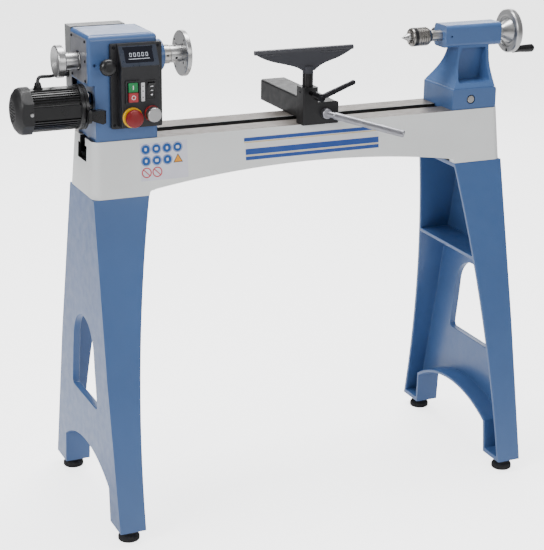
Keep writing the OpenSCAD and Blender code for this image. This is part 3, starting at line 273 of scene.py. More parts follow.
def two_rings(name, first, second, change_x):
    """Moulded plastic of one colour up to a distance along X, and another after it."""
    s = Shader(name, first, 0.3)
    side = s.spread(s.parts(s.place)[0], change_x, change_x + 0.001)
    tint = s.spread(s.noise(40.0), 0.35, 0.65)
    s.color(s.blend(side, s.blend(tint, shade(first, 0.92), shade(first, 1.05)),
                    s.blend(tint, shade(second, 0.92), shade(second, 1.05))))
    s.roughness(s.spread(s.noise(80.0), 0.3, 0.7, 0.24, 0.38))
    s.bump(s.cells(1900.0), 0.1, 0.0001)
    return s.material


def oiled_post(name, color, rust, rust_z):
    """Blackened steel rod, rubbed bright in streaks, with a thin rusty ring below the blade."""
    s = Shader(name, color, 0.3, 0.6)
    height = s.parts(s.place)[2]
    streaks = s.spread(s.noise(220.0, 3.0, 0.6, s.scaled((1.0, 1.0, 0.05))), 0.5, 0.75, 0.0, 0.5)
    ragged = s.noise(160.0, 3.0)
    band = s.both(s.between(height, rust_z - 0.004, rust_z + 0.002, 0.002), s.spread(ragged, 0.35, 0.6))
    s.color(s.blend(band, s.blend(streaks, color, srgb(110, 108, 108)), rust))
    s.roughness(s.spread(s.noise(90.0, 3.0), 0.3, 0.7, 0.24, 0.42))
    s.bump(ragged, 0.2, 0.0001)
    return s.material


def milled(name, color, roughness, stretch):
    """Ground or brushed metal: fine scratches that run one way."""
    s = Shader(name, color, roughness, 1.0)
    grain = s.noise(500.0, 3.0, 0.6, s.scaled(stretch))
    stains = s.spread(s.noise(14.0, 5.0), 0.35, 0.7)
    tone = s.blend(grain, shade(color, 0.82), shade(color, 1.10))
    s.color(s.blend(s.math("MULTIPLY", stains, 0.45), tone, shade(color, 0.7)))
    s.roughness(s.spread(grain, 0.3, 0.7, roughness - 0.06, roughness + 0.12))
    s.bump(grain, 0.2, 0.00008)
    return s.material


def plain_metal(name, color, roughness):
    """Plated or cast metal without a tool's direction."""
    s = Shader(name, color, roughness, 1.0)
    s.color(s.blend(s.spread(s.noise(70.0, 4.0), 0.35, 0.7), shade(color, 1.06), shade(color, 0.82)))
    s.roughness(s.spread(s.noise(150.0, 3.0), 0.3, 0.7, max(0.02, roughness - 0.06), roughness + 0.10))
    s.bump(s.noise(120.0, 2.0), 0.08, 0.00008)
    return s.material


def plastic(name, color, roughness=0.45, grain=0.4):
    """Moulded plastic with a fine spark-eroded grain."""
    s = Shader(name, color, roughness)
    s.color(s.blend(s.spread(s.noise(30.0), 0.35, 0.65), shade(color, 0.9), shade(color, 1.12)))
    s.roughness(s.spread(s.noise(80.0), 0.3, 0.7, max(0.02, roughness - 0.07), roughness + 0.08))
    s.bump(s.cells(1900.0), grain, 0.00010)
    return s.material


def rubber(name, color):
    """Rubber with a dusty skin."""
    s = Shader(name, color, 0.75)
    dust = s.spread(s.noise(120.0, 5.0, 0.7), 0.5, 0.75, 0.0, 0.4)
    s.color(s.blend(dust, color, srgb(70, 68, 64)))
    s.bump(s.noise(800.0, 3.0), 0.4, 0.0002)
    return s.material


def film(name, color, roughness=0.3):
    """Printed vinyl: flat colour under a thin clear layer."""
    s = Shader(name, color, roughness, Coat_Weight=0.4, Coat_Roughness=0.12)
    s.color(s.blend(s.spread(s.noise(25.0), 0.4, 0.6), shade(color, 0.97), shade(color, 1.02)))
    s.bump(s.noise(260.0, 2.0), 0.12, 0.0001)
    return s.material


# The bed's openings, in metres: half widths from its middle, and depths below its ways
SLOT_HALF = 0.0195
TEE_HALF = 0.0315
TEE_DEPTH = 0.053
CAVITY_HALF = 0.066
CAVITY_DEPTH = 0.019
END_WALL = 0.012


def bed_finish(name, color, steel, hollow_shade):
    """Paint on the bed's sides, ground iron on its ways, and near-black painted shade in the slot, the T
    openings in its ends and the cavity under the ways.
    """
    low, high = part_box("bed")
    way_z = high.z
    s = Shader(name, color, 0.4, Specular_IOR_Level=0.4)
    x, y, height = s.parts(s.place)
    along, _, upward = s.parts(s.nodes.new("ShaderNodeNewGeometry").outputs["Normal"])
    across = s.math("ABSOLUTE", y, 0.0)
    ground = s.both(s.spread(upward, 0.6, 0.8), s.spread(height, way_z - 0.002, way_z - 0.0012))
    below_ways = s.spread(height, way_z - 0.0014, way_z - 0.0008, 1.0, 0.0)
    end_faces = s.spread(s.math("ABSOLUTE", along, 0.0), 0.4, 0.6, 1.0, 0.0)
    slot = s.both(s.between(across, -1.0, SLOT_HALF),
                  s.spread(height, way_z - CAVITY_DEPTH, way_z - CAVITY_DEPTH + 0.001), end_faces, below_ways)
    ends = s.both(s.between(across, -1.0, TEE_HALF),
                  s.spread(height, way_z - TEE_DEPTH - 0.001, way_z - TEE_DEPTH), end_faces, below_ways)
    cavity = s.both(s.between(across, -1.0, CAVITY_HALF), s.between(x, low.x + END_WALL, high.x - END_WALL),
                    s.spread(height, way_z - CAVITY_DEPTH, way_z - CAVITY_DEPTH + 0.0015, 1.0, 0.0))
    # Painted shade: this mask picks the slot, the T openings at the ends and the cavity, which are coloured
    # near-black.
    dark = s.either(slot, ends, cavity)
    grain = s.noise(300.0, 4.0, 0.6, s.scaled((0.05, 1.0, 1.0)))
    stains = s.spread(s.noise(11.0, 5.0), 0.3, 0.72)
    iron = s.blend(grain, shade(steel, 0.72), shade(steel, 1.15))
    iron = s.blend(s.math("MULTIPLY", stains, 0.5), iron, shade(steel, 0.62))
    coat = s.blend(s.spread(s.noise(6.0, 2.0), 0.35, 0.65), shade(color, 0.97), shade(color, 1.02))
    specks = s.spread(s.noise(380.0, 2.0), 0.63, 0.73, 0.0, 0.3)
    coat = s.blend(specks, coat, shade(color, 0.82))
    # The near-black of the hollows: painted shade with a little noise in it.
    painted_hollow_shade = s.blend(s.noise(90.0, 3.0), shade(hollow_shade, 0.8), shade(hollow_shade, 1.2))
    s.color(s.blend(dark, s.blend(ground, coat, iron), painted_hollow_shade))
    s.join(s.math("MULTIPLY", ground, 0.7), s.surface.inputs["Metallic"])
    s.roughness(s.spread(s.noise(60.0, 3.0), 0.3, 0.7, 0.36, 0.5))
    s.bump(s.noise(150.0, 3.0), 0.35, 0.0004)
    return s.material


# Where the yellow ring under the stop button ends and the red one under the speed knob begins
RINGS_CHANGE_X = (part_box("estop_button")[1].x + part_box("speed_knob")[0].x) / 2
# Blackened zones of the live centre, in millimetres from the front of its body
CENTRE_ZONES = ((5.5, 14.5), (49.5, 54.5))
CENTRE_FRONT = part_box("center_body")[0].x
CENTRE_BLACK = [(CENTRE_FRONT + start * MM, CENTRE_FRONT + end * MM) for start, end in CENTRE_ZONES]

BLUE = srgb(68, 99, 148)
STEEL = srgb(176, 174, 171)

# Every finish of the CAD nodes and the pieces
M = {
    "blue": paint("blue_enamel", BLUE),
    # The bed's last colour is the near-black painted shade of its slot and hollows.
    "bed": bed_finish("bed_finish", srgb(232, 234, 233), srgb(132, 126, 121), srgb(22, 21, 20)),
    "grey_plate": powder("grey_plate", srgb(104, 105, 112), 0.38),
    "drive_grey": powder("drive_box_grey", srgb(112, 113, 114), 0.45),
    "motor_black": paint("motor_enamel", srgb(12, 12, 14), 0.3, 0.03, 0.15),
    "cowl_black": powder("cowl_enamel", srgb(17, 17, 19), 0.5),
    "dark_casting": paint("dark_casting", srgb(18, 18, 20), 0.42, 0.5, 0.1),
    "post": oiled_post("post_steel", srgb(34, 33, 34), srgb(112, 92, 74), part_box("rest_post")[1].z - 0.002),
    "blade": paint("rest_enamel", srgb(44, 45, 52), 0.36, 0.3),
    "box_plastic": plastic("box_plastic", srgb(27, 27, 30), 0.42),
    "bezel_plastic": plastic("bezel_plastic", srgb(44, 50, 62), 0.3),
    "black_plastic": plastic("black_plastic", srgb(16, 16, 18), 0.3),
    "grip_plastic": plastic("grip_plastic", srgb(20, 20, 22), 0.25, 0.15),
    "green": plastic("green_plastic", srgb(22, 128, 70), 0.3, 0.1),
    "red": plastic("red_plastic", srgb(120, 0, 8), 0.4, 0.15),
    "dull_red": plastic("dull_red_plastic", srgb(170, 52, 58), 0.35, 0.12),
    "rings": two_rings("ring_plastic", srgb(238, 184, 10), srgb(170, 14, 26), RINGS_CHANGE_X),
    "rubber": rubber("foot_rubber", srgb(22, 22, 23)),
    "belt": rubber("belt_rubber", srgb(34, 33, 32)),
    "cable": rubber("cable_rubber", srgb(46, 46, 48)),
    "turned": turned("turned_steel", STEEL, 0.34),
    "centre_steel": ringed_steel("centre_steel", srgb(150, 147, 143), srgb(18, 18, 20), CENTRE_BLACK),
    "bright": turned("bright_turned", srgb(184, 184, 184), 0.32, marks=0.12),
    "aluminium": turned("turned_aluminium", srgb(200, 201, 204), 0.36, marks=0.12),
    "chrome": plain_metal("chrome_plate", srgb(158, 158, 164), 0.38),
    "zinc": plain_metal("zinc_plate", srgb(168, 168, 168), 0.34),
    "oxide": plain_metal("black_oxide", srgb(44, 44, 47), 0.36),
    "iron": milled("ground_iron", srgb(110, 108, 105), 0.42, (1.0, 0.08, 1.0)),
    "window": plastic("smoked_window", srgb(12, 15, 26), 0.06, 0.0),
    "mark_white": film("mark_white", srgb(228, 228, 230)),
    "digits": film("digit_grey", srgb(196, 202, 212)),
}

# The nodes that have each finish
FINISH = {
    "blue": ["leg_left", "leg_right", "headstock", "tailstock"],
    "bed": ["bed"],
    "grey_plate": ["side_plate"],
    "drive_grey": ["drive_box"],
    "motor_black": ["motor_plate", "motor_end", "motor_housing", "tension_grip"],
    "cowl_black": ["fan_cowl"],
    "dark_casting": ["banjo"],
    "post": ["rest_post"],
    "blade": ["tool_rest"],
    "box_plastic": ["control_box", "switch_frames"],
    "black_plastic": ["lock_pin", "quill_lock", "rocker", "box_gland", "motor_gland", "motor_fan"],
    "grip_plastic": ["crank_grip"],
    "green": ["on_button"],
    "dull_red": ["off_button"],
    "red": ["estop_button"],
    "rubber": ["foot_pads"],
    "belt": ["drive_belt"],
    "cable": ["motor_cable"],
    "turned": ["spindle", "quill", "motor_rotor", "tail_cam"],
    "centre_steel": ["center_body"],
    "bright": ["spindle_collars", "center_point", "faceplate", "outboard_wheel", "tail_wheel", "speed_knob",
               "bearings_outer", "bearings_inner"],
    "aluminium": ["spindle_pulley", "motor_pulley"],
    "chrome": ["cam_handle"],
    "zinc": ["leg_bolts", "foot_studs", "headstock_clamp", "pivot_pin", "motor_screws"],
    "oxide": ["cover_screws", "lock_bush", "rest_lever"],
    "iron": ["cam_block", "banjo_clamp", "tail_clamp", "motor_stator"],
    "window": ["display_window"],
    "rings": ["panel_rings"],
}


def finish_node(name, material):
    """Gives a CAD node its material."""
    mesh = NODES[name].data
    mesh.materials.clear()
    mesh.materials.append(material)


for key, names in FINISH.items():
    for node_name in names:
        finish_node(node_name, M[key])


# ---------- softened edges of the CAD nodes ----------


def soften(name, width, segments=2, angle=32.0):
    """Rounds the hard edges of a node by a small radius, inwards, and shades it smooth between them."""
    thing = NODES[name]
    weld = thing.modifiers.new("weld", "WELD")
    weld.merge_threshold = 0.00001
    bevel = thing.modifiers.new("round", "BEVEL")
    bevel.width = width * MM
    bevel.segments = segments
    bevel.limit_method = "ANGLE"
    bevel.angle_limit = math.radians(angle)
    bevel.use_clamp_overlap = True
    bevel.miter_outer = "MITER_ARC"
    bevel.harden_normals = False
    normals = thing.modifiers.new("normals", "WEIGHTED_NORMAL")
    normals.keep_sharp = True
    normals.weight = 80
    for face in thing.data.polygons:
        face.use_smooth = True


# Radii of the edges, in millimetres
EDGE_RADIUS = {
    "leg_left": 1.6, "leg_right": 1.6, "bed": 1.2, "headstock": 1.2, "tailstock": 2.0,
    "banjo": 1.2, "tool_rest": 1.2, "control_box": 0.8, "drive_box": 0.8, "motor_plate": 1.0,
    "tension_grip": 2.0, "switch_frames": 0.5, "on_button": 0.8, "off_button": 0.8, "rocker": 0.6,
}
FINE_RADIUS = 0.3
for node_name in NODES:
    if node_name in EDGE_RADIUS:
        soften(node_name, EDGE_RADIUS[node_name])
    else:
        soften(node_name, FINE_RADIUS, 1)


# ---------- mesh helpers ----------


def at(x, y, z):
    """A place from millimetres: x from the left feet along the bed, y to the back, z from the floor."""
    return Vector((LEFT_FEET_X + x * MM, y * MM, z * MM))


def add_piece(name, mesh_data, material, body, smooth=True):
    """Makes a piece from (points, faces) or from a bmesh, with its finish and the body that it rides on.
    A piece that bends between two bodies has None there."""
    mesh = bpy.data.meshes.new(name)
    if isinstance(mesh_data, bmesh.types.BMesh):
        mesh_data.to_mesh(mesh)
        mesh_data.free()
    else:
        mesh.from_pydata(mesh_data[0], [], mesh_data[1])
    piece = bpy.data.objects.new(name, mesh)
    bpy.context.scene.collection.objects.link(piece)
    mesh.materials.append(material)
    for face in mesh.polygons:
        face.use_smooth = smooth
    if smooth:
        mesh.set_sharp_from_angle(angle=math.radians(35))
    if body is not None:
        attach(piece, body)
    return piece


def frame_of(axis):
    """Two directions across an axis."""
    axis = axis.normalized()
    side = axis.orthogonal().normalized()
    return side, axis.cross(side)


def turned_mesh(profile, origin, axis, steps=48):
    """Turns a closed profile of (along, radius) in millimetres about an axis."""
    bm = bmesh.new()
    side, over = frame_of(axis)
    axis = axis.normalized()
    rings = []
    for k in range(steps):
        angle = 2 * math.pi * k / steps
        out = math.cos(angle) * side + math.sin(angle) * over
        rings.append([bm.verts.new(origin + (axis * along + out * radius) * MM) for along, radius in profile])
    count = len(profile)
    for k in range(steps):
        here, there = rings[k], rings[(k + 1) % steps]
        for i in range(count):
            j = (i + 1) % count
            bm.faces.new((here[i], there[i], there[j], here[j]))
    bmesh.ops.remove_doubles(bm, verts=bm.verts, dist=1e-7)
    bmesh.ops.dissolve_degenerate(bm, edges=bm.edges, dist=1e-8)
    bmesh.ops.recalc_face_normals(bm, faces=bm.faces)
    return bm


def slab_mesh(rows, thickness, lift):
    """A thin closed skin over a grid of (place, outward) pairs."""
    bm = bmesh.new()
    top = [[bm.verts.new(p + n * (lift + thickness) * MM) for p, n in row] for row in rows]
    low = [[bm.verts.new(p + n * lift * MM) for p, n in row] for row in rows]
    high, wide = len(rows), len(rows[0])
    for i in range(high - 1):
        for j in range(wide - 1):
            bm.faces.new((top[i][j], top[i][j + 1], top[i + 1][j + 1], top[i + 1][j]))
            bm.faces.new((low[i][j], low[i + 1][j], low[i + 1][j + 1], low[i][j + 1]))
    rim = [(0, j) for j in range(wide)] + [(i, wide - 1) for i in range(1, high)]
    rim += [(high - 1, j) for j in range(wide - 2, -1, -1)] + [(i, 0) for i in range(high - 2, 0, -1)]
    for k, (i, j) in enumerate(rim):
        m, n = rim[(k + 1) % len(rim)]
        bm.faces.new((top[i][j], low[i][j], low[m][n], top[m][n]))
    bmesh.ops.recalc_face_normals(bm, faces=bm.faces)
    return bm


def outline_mesh(points, origin, right, up, out, thickness, lift, hole=None):
    """A thin plate from a 2-D outline in millimetres, with an optional hole of as many points."""
    bm = bmesh.new()

    def loop(outline, height):
        return [bm.verts.new(origin + (right * a + up * b + out * height) * MM) for a, b in outline]

    top, low = loop(points, lift + thickness), loop(points, lift)
    count = len(points)
    if hole is None:
        bm.faces.new(top)
        bm.faces.new(low[::-1])
    else:
        inner_top, inner_low = loop(hole, lift + thickness), loop(hole, lift)
        for i in range(count):
            j = (i + 1) % count
            bm.faces.new((top[i], top[j], inner_top[j], inner_top[i]))
            bm.faces.new((low[j], low[i], inner_low[i], inner_low[j]))
            bm.faces.new((inner_top[j], inner_low[j], inner_low[i], inner_top[i]))
    for i in range(count):
        j = (i + 1) % count
        bm.faces.new((top[j], top[i], low[i], low[j]))
    bmesh.ops.recalc_face_normals(bm, faces=bm.faces)
    return bm


def rounded_box(half_wide, half_high, radius, steps=6):
    """The outline of a rectangle with round corners, about its middle."""
    points = []
    for k, (sx, sy) in enumerate(((1, 1), (-1, 1), (-1, -1), (1, -1))):
        for i in range(steps + 1):
            angle = (k + i / steps) * math.pi / 2
            points.append((sx * (half_wide - radius) + radius * math.cos(angle),
                           sy * (half_high - radius) + radius * math.sin(angle)))
    return points


def disc(radius, steps=36):
    """The outline of a circle about its middle."""
    return [(radius * math.cos(2 * math.pi * k / steps), radius * math.sin(2 * math.pi * k / steps))
            for k in range(steps)]


def tube_mesh(points, radius, steps=10):
    """A round bar along a line of places, closed at its ends; the radius is in millimetres."""
    bm = bmesh.new()
    rings = []
    for i, point in enumerate(points):
        before, after = points[max(i - 1, 0)], points[min(i + 1, len(points) - 1)]
        side, over = frame_of(after - before)
        rings.append([bm.verts.new(point + (math.cos(a) * side + math.sin(a) * over) * radius * MM)
                      for a in (2 * math.pi * k / steps for k in range(steps))])
    for here, there in zip(rings, rings[1:]):
        for k in range(steps):
            bm.faces.new((here[k], here[(k + 1) % steps], there[(k + 1) % steps], there[k]))
    bm.faces.new(rings[0][::-1])
    bm.faces.new(rings[-1])
    bmesh.ops.recalc_face_normals(bm, faces=bm.faces)
    return bm


def surface_of(name):
    """A search tree of a node, to lay things on it."""
    mesh = NODES[name].data
    return BVHTree.FromPolygons([v.co for v in mesh.vertices], [p.vertices for p in mesh.polygons])


def add_joined(name, meshes, material, body):
    """Makes one piece of several bmeshes."""
    points, faces = [], []
    for bm in meshes:
        base = len(points)
        bm.verts.index_update()
        points += [v.co.copy() for v in bm.verts]
        faces += [[base + v.index for v in face.verts] for face in bm.faces]
        bm.free()
    return add_piece(name, (points, faces), material, body)


def middle_of(name):
    """The middle of a node's box in millimetres, as at() counts them."""
    low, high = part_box(name)
    centre = (low + high) / 2
    return ((centre.x - LEFT_FEET_X) / MM, centre.y / MM, centre.z / MM)


def front_of(name):
    """How far back a node's front is, in millimetres."""
    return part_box(name)[0].y / MM


# Places, in millimetres as at() counts them
AXIS_Z = (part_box("faceplate")[0].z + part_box("faceplate")[1].z) / 2 / MM
PANEL_Y = front_of("on_button") + 6
FEET_Y = (front_of("foot_pads") + FOOT_PAD_RADIUS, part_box("foot_pads")[1].y / MM - FOOT_PAD_RADIUS)
FEET_SPAN = 1000
FOOT_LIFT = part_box("leg_left")[0].z / MM
LEVER_FRONT = front_of("rest_lever")
LEVER_HUB = ((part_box("rest_lever")[0].x - LEFT_FEET_X) / MM + 9.6, LEVER_FRONT + 8, AXIS_Z - 96)


# ---------- the bed's labels ----------

BED_SURFACE = surface_of("bed")
WELL_IN_FRONT = -400
# Printed films: their thickness, and how far the ground and what is printed on it stand off the paint
FILM_THICK = 0.12
GROUND, PRINT, OVERPRINT = 0.03, 0.16, 0.29


def on_bed_front(x, z):
    """The place on the bed's front face, and its outward normal."""
    place, normal, _, _ = BED_SURFACE.ray_cast(at(x, WELL_IN_FRONT, z), Y)
    return (place, normal if normal.dot(Y) < 0 else -normal)


def bed_film(name, x0, x1, z0, z1, material, lift, columns=24, rows=4):
    """A film that follows the curved front of the bed."""
    grid = [[on_bed_front(x0 + (x1 - x0) * j / columns, z0 + (z1 - z0) * i / rows)
             for j in range(columns + 1)] for i in range(rows + 1)]
    add_piece(name, slab_mesh(grid, FILM_THICK, lift), material, "stand")


FILM = {
    "white": film("film_white", srgb(226, 226, 228)),
    "blue": film("film_blue", srgb(38, 76, 152)),
    "gold": film("film_gold", srgb(214, 186, 110)),
    "sign_white": film("sign_white", srgb(222, 222, 233)),
    "sign_blue": film("sign_blue", srgb(18, 82, 158)),
    "sign_orange": film("sign_orange", srgb(238, 158, 40)),
    "sign_red": film("sign_red", srgb(196, 44, 60)),
    "sign_black": film("sign_black", srgb(32, 32, 34)),
}


def add_stripe_label():
    """The long striped label on the bed's front. It carries no words."""
    left, right, low, high = 340, 686, 833.5, 885
    height = high - low
    bed_film("stripe_ground", left + 4, right, low, high, FILM["white"], GROUND)
    # Each bar's colour, its start and end as shares of the height from the top, and how far it is drawn in
    bars = (("top", "blue", 0.0, 0.16, 0), ("upper_line", "gold", 0.19, 0.225, 0),
            ("middle", "blue", 0.50, 0.76, 3), ("lower_line", "gold", 0.785, 0.815, 3),
            ("bottom", "blue", 0.84, 1.0, 3))
    for part, color, start, end, inset in bars:
        bed_film("stripe_" + part, left + inset, right, high - end * height, high - start * height,
                 FILM[color], PRINT, rows=2)


def add_sign_label():
    """The sheet of round signs, kept as plain coloured shapes without pictures."""
    left, right, low, high = 88, 201, 809, 894
    bed_film("sign_sheet", left, right, low, high, FILM["sign_white"], GROUND, 12, 8)
    pitch_x, pitch_z, radius = 25.3, 26.0, 11.8
    first_x, first_z = left + 13.8, high - 14.5

    def sign(name, column, row, points, material, lift, hole=None):
        place, normal = on_bed_front(first_x + pitch_x * column, first_z - pitch_z * row)
        up = (Z - normal * Z.dot(normal)).normalized()
        add_piece(name, outline_mesh(points, place, up.cross(normal), up, normal, FILM_THICK, lift, hole),
                  material, "stand")

    for row, count in enumerate((4, 3)):
        for column in range(count):
            tag = f"{row}_{column}"
            sign("sign_disc_" + tag, column, row, disc(radius), FILM["sign_blue"], PRINT)
            sign("sign_rim_" + tag, column, row, disc(radius - 1.2), FILM["sign_white"], OVERPRINT,
                 disc(radius - 1.9))
            sign("sign_dot_" + tag, column, row, rounded_box(2.6 + (column % 2) * 1.4, 3.6, 2.0),
                 FILM["sign_white"], OVERPRINT)
    corner = radius + 1.5
    drop, field = 2, 0.78
    triangle = [(corner * math.sin(a), corner * math.cos(a) - drop)
                for a in (0, 2 * math.pi / 3, 4 * math.pi / 3)]
    inner = [(field * a, field * (b + drop) - drop) for a, b in triangle]
    sign("sign_triangle", 3, 1, triangle, FILM["sign_black"], PRINT)
    sign("sign_triangle_field", 3, 1, inner, FILM["sign_orange"], OVERPRINT)
    half_long, half_wide, lean = 9.6, 1.1, math.radians(-45)
    corners = [(u * half_long, v * half_wide) for u, v in ((-1, -1), (1, -1), (1, 1), (-1, 1))]
    bar = [(math.cos(lean) * u - math.sin(lean) * v, math.sin(lean) * u + math.cos(lean) * v)
           for u, v in corners]
    for column in range(2):
        sign(f"sign_ring_{column}", column, 2, disc(radius), FILM["sign_red"], PRINT, disc(radius - 2.6))
        sign(f"sign_bar_{column}", column, 2, bar, FILM["sign_red"], OVERPRINT + 0.01)


# ---------- the control box ----------


def panel_plate(name, centre, points, material, lift, thickness, body, hole=None, y=None):
    """An upright plate round a centre of x and z, which stands off the panel or off the plane y."""
    origin = at(centre[0], PANEL_Y if y is None else y, centre[1])
    plate = outline_mesh(points, origin, X, Z, -Y, thickness, lift, hole)
    return add_piece(name, plate, material, body)


def add_panel_marks():
    """The marks on the buttons and the rocker, and the pale strip between them."""
    white = M["mark_white"]
    sunk, thick = -0.02, 0.25
    x, _, z = middle_of("on_button")
    panel_plate("on_mark", (x, z), rounded_box(1.1, 4.6, 0.8), white, sunk, thick, "on_key",
                y=front_of("on_button"))
    x, _, z = middle_of("off_button")
    panel_plate("off_mark", (x, z), disc(4.8), white, sunk, thick, "off_key", disc(3.5),
                y=front_of("off_button"))
    x, _, z = middle_of("rocker")
    face_y, lower_step, tilt = -117.6, 0.6, math.radians(7)
    lean = Vector((0, -math.sin(tilt), math.cos(tilt)))
    for index, (height, half) in enumerate(((9.5, (3.2, 0.9)), (0.6, (2.6, 0.9)), (-9.0, (2.4, 1.4)))):
        origin = at(x, face_y + (lower_step if height < 0 else 0.0), z + height)
        points = rounded_box(half[0], half[1], 0.6)
        add_piece(f"rocker_mark_{index}", outline_mesh(points, origin, X, lean, -Y, 0.35, 0.0), white,
                  "rocker_key")
    strip = (86.1, AXIS_Z - 57.3)
    panel_plate("panel_strip", strip, rounded_box(4.2, 20.6, 0.8), white, 0.02, 0.15, "stand")
    for index, height in enumerate((12.5, 2.0, -12.0)):
        panel_plate(f"panel_strip_dot_{index}", (strip[0], strip[1] + height), disc(1.5),
                    FILM["sign_black"], 0.18, 0.1, "stand")


def display_plane():
    """The middle of the display's lower edge, its length up the slope, and its directions up and out."""
    low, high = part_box("display_window")
    lean = Vector((0, high.y - low.y, high.z - low.z))
    up = lean.normalized()
    out = X.cross(up)
    return Vector(((low.x + high.x) / 2, low.y, low.z)), lean.length, up, -out if out.y > 0 else out


def add_display_bezel():
    """The dark frame round the display, on the sloping top of the control box."""
    foot, length, up, out = display_plane()
    low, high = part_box("display_window")
    half_x, half_up = (high.x - low.x) / 2 / MM, length / 2 / MM
    outer = rounded_box(half_x + 8.5, half_up + 5.5, 3.0)
    inner = rounded_box(half_x - 2.2, half_up - 2.6, 3.0)
    add_piece("display_bezel", outline_mesh(outer, foot + up * length / 2, X, up, out, 0.9, 0.25, inner),
              M["bezel_plastic"], "stand")


def add_display_digits():
    """A row of noughts on the display, and a line below them."""
    foot, length, up, out = display_plane()
    centre = foot + up * length * 0.52
    wide, tall, stroke, pitch, count = 5.4, 9.0, 1.1, 9.2, 5
    lift, line_drop = 0.9, 9.5
    for index in range(count):
        origin = centre + X * (index - count // 2) * pitch * MM
        outer = rounded_box(wide / 2, tall / 2, 0.8, 3)
        inner = rounded_box(wide / 2 - stroke, tall / 2 - stroke, 0.4, 3)
        add_piece(f"display_digit_{index}", outline_mesh(outer, origin, X, up, out, FILM_THICK, lift, inner),
                  M["digits"], "stand")
    line = rounded_box(2.6 * pitch, 0.7, 0.5, 3)
    add_piece("display_line", outline_mesh(line, centre - up * line_drop * MM, X, up, out, FILM_THICK, lift),
              M["digits"], "stand")


def add_knurled_ring():
    """Fine straight knurling round the speed knob, and the dot on its face."""
    x, _, z = middle_of("speed_knob")
    radius, teeth, depth, start, length, face = 15.9, 44, 0.55, 5.0, 13.0, 20.3
    outline = []
    tooth = ((0.0, radius), (0.3, radius + depth), (0.5, radius + depth), (0.8, radius))
    for k in range(teeth):
        for part, r in tooth:
            angle = 2 * math.pi * (k + part) / teeth
            outline.append((r * math.cos(angle), r * math.sin(angle)))
    inner = disc(radius - 0.6, steps=len(outline))
    panel_plate("speed_knob_knurl", (x, z), outline, M["bright"], start, length, "speed_dial",
                inner)
    panel_plate("speed_knob_dot", (x - 6.5, z - 5.5), disc(1.3, steps=16), FILM["sign_black"], 0.0, 0.4,
                "speed_dial", y=PANEL_Y - face)


# ---------- fasteners and small turned things ----------


def add_thread(name, origin, axis, radius, pitch, length, material, body, steps=18):
    """A helical ridge on a core, as a closed ribbon that tapers out at its ends."""
    half_foot, rise, sunk = pitch * 0.42, pitch * 0.42, 0.15
    bm = bmesh.new()
    side, over = frame_of(axis)
    count = int(length / pitch * steps)
    sections = []
    for k in range(count + 1):
        angle = 2 * math.pi * k / steps
        fade = min(1.0, k / steps, (count - k) / steps)
        out = math.cos(angle) * side + math.sin(angle) * over
        along = pitch * k / steps
        crest = radius + 0.05 + rise * fade
        corners = ((along - half_foot, radius - sunk), (along, crest), (along + half_foot, radius - sunk))
        sections.append([bm.verts.new(origin + (axis * a + out * r) * MM) for a, r in corners])
    for here, there in zip(sections, sections[1:]):
        for i, j in ((0, 1), (1, 2), (2, 0)):
            bm.faces.new((here[i], there[i], there[j], here[j]))
    bm.faces.new(sections[0])
    bm.faces.new(sections[-1][::-1])
    bmesh.ops.recalc_face_normals(bm, faces=bm.faces)
    add_piece(name, bm, material, body)


def add_foot_threads():
    """Threads on the studs of the four feet, above the flanges that they pass."""
    flange, radius, pitch, length = 22, 6.0, 1.75, 17
    for index, (x, y) in enumerate(((x, y) for x in (0, FEET_SPAN) for y in FEET_Y)):
        add_thread(f"foot_thread_{index}", at(x, y, FOOT_LIFT + flange), Z, radius, pitch, length, M["zinc"],
                   "stand")


def add_lever_ribs():
    """Fine ribs across the arm of the tool rest's lever, and the screw in its hub."""
    x, y, z = LEVER_HUB
    hub, run = at(x, y, z), Vector((82, 0, 30))
    axis = run.normalized()
    first, last, count = 18.0, run.length - 10, 24
    ribs = []
    for index in range(count):
        along = first + (last - first) * index / (count - 1)
        radius = 6.4 - 1.2 * along / (run.length - 8)
        foot, crest = radius - 0.3, radius + 0.45
        profile = ((-0.9, foot), (-0.5, crest), (0.5, crest), (0.9, foot))
        ribs.append(turned_mesh(profile, hub + axis * along * MM, axis, 20))
    add_joined("lever_ribs", ribs, M["oxide"], "post_lever")
    socket = ((-0.3, 0.0), (-0.3, 6.2), (1.4, 5.6), (1.4, 3.2), (0.2, 3.0), (0.2, 0.0))
    add_piece("lever_screw", turned_mesh(socket, at(x, LEVER_FRONT, z), -Y, 24), M["oxide"], "post_lever")


def add_weld_beads():
    """Wavy weld beads where the rod meets the blade of the tool rest."""
    low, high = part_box("tool_rest")
    left, right = (low.x - LEFT_FEET_X) / MM, (high.x - LEFT_FEET_X) / MM
    y, z = (low.y + high.y) / 2 / MM, high.z / MM - 11.6
    off_middle, radius = 5.0, 1.5
    spans = ((left + 14, left + 62), (right - 84, right - 24))
    for face, side in (("front", -1), ("back", 1)):
        for index, (a, b) in enumerate(spans):
            count = int((b - a) / 2)
            line = [at(a + (b - a) * k / count, y + side * (off_middle + 0.35 * math.sin(k * 1.9)),
                       z + 0.5 * math.sin(k * 1.3)) for k in range(count + 1)]
            add_piece(f"weld_bead_{face}_{index}", tube_mesh(line, radius), M["blade"], "rest_blade")


def add_spindle_seal():
    """Black seal where the spindle leaves the headstock's boss."""
    boss_end = (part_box("headstock")[1].x - LEFT_FEET_X) / MM
    seal = ((0.02, 22.2), (0.02, 26.5), (0.6, 26.5), (0.75, 25.8), (0.75, 22.2))
    add_piece("spindle_seal", turned_mesh(seal, at(boss_end, 0, AXIS_Z), X, 64), M["rubber"], "stand")


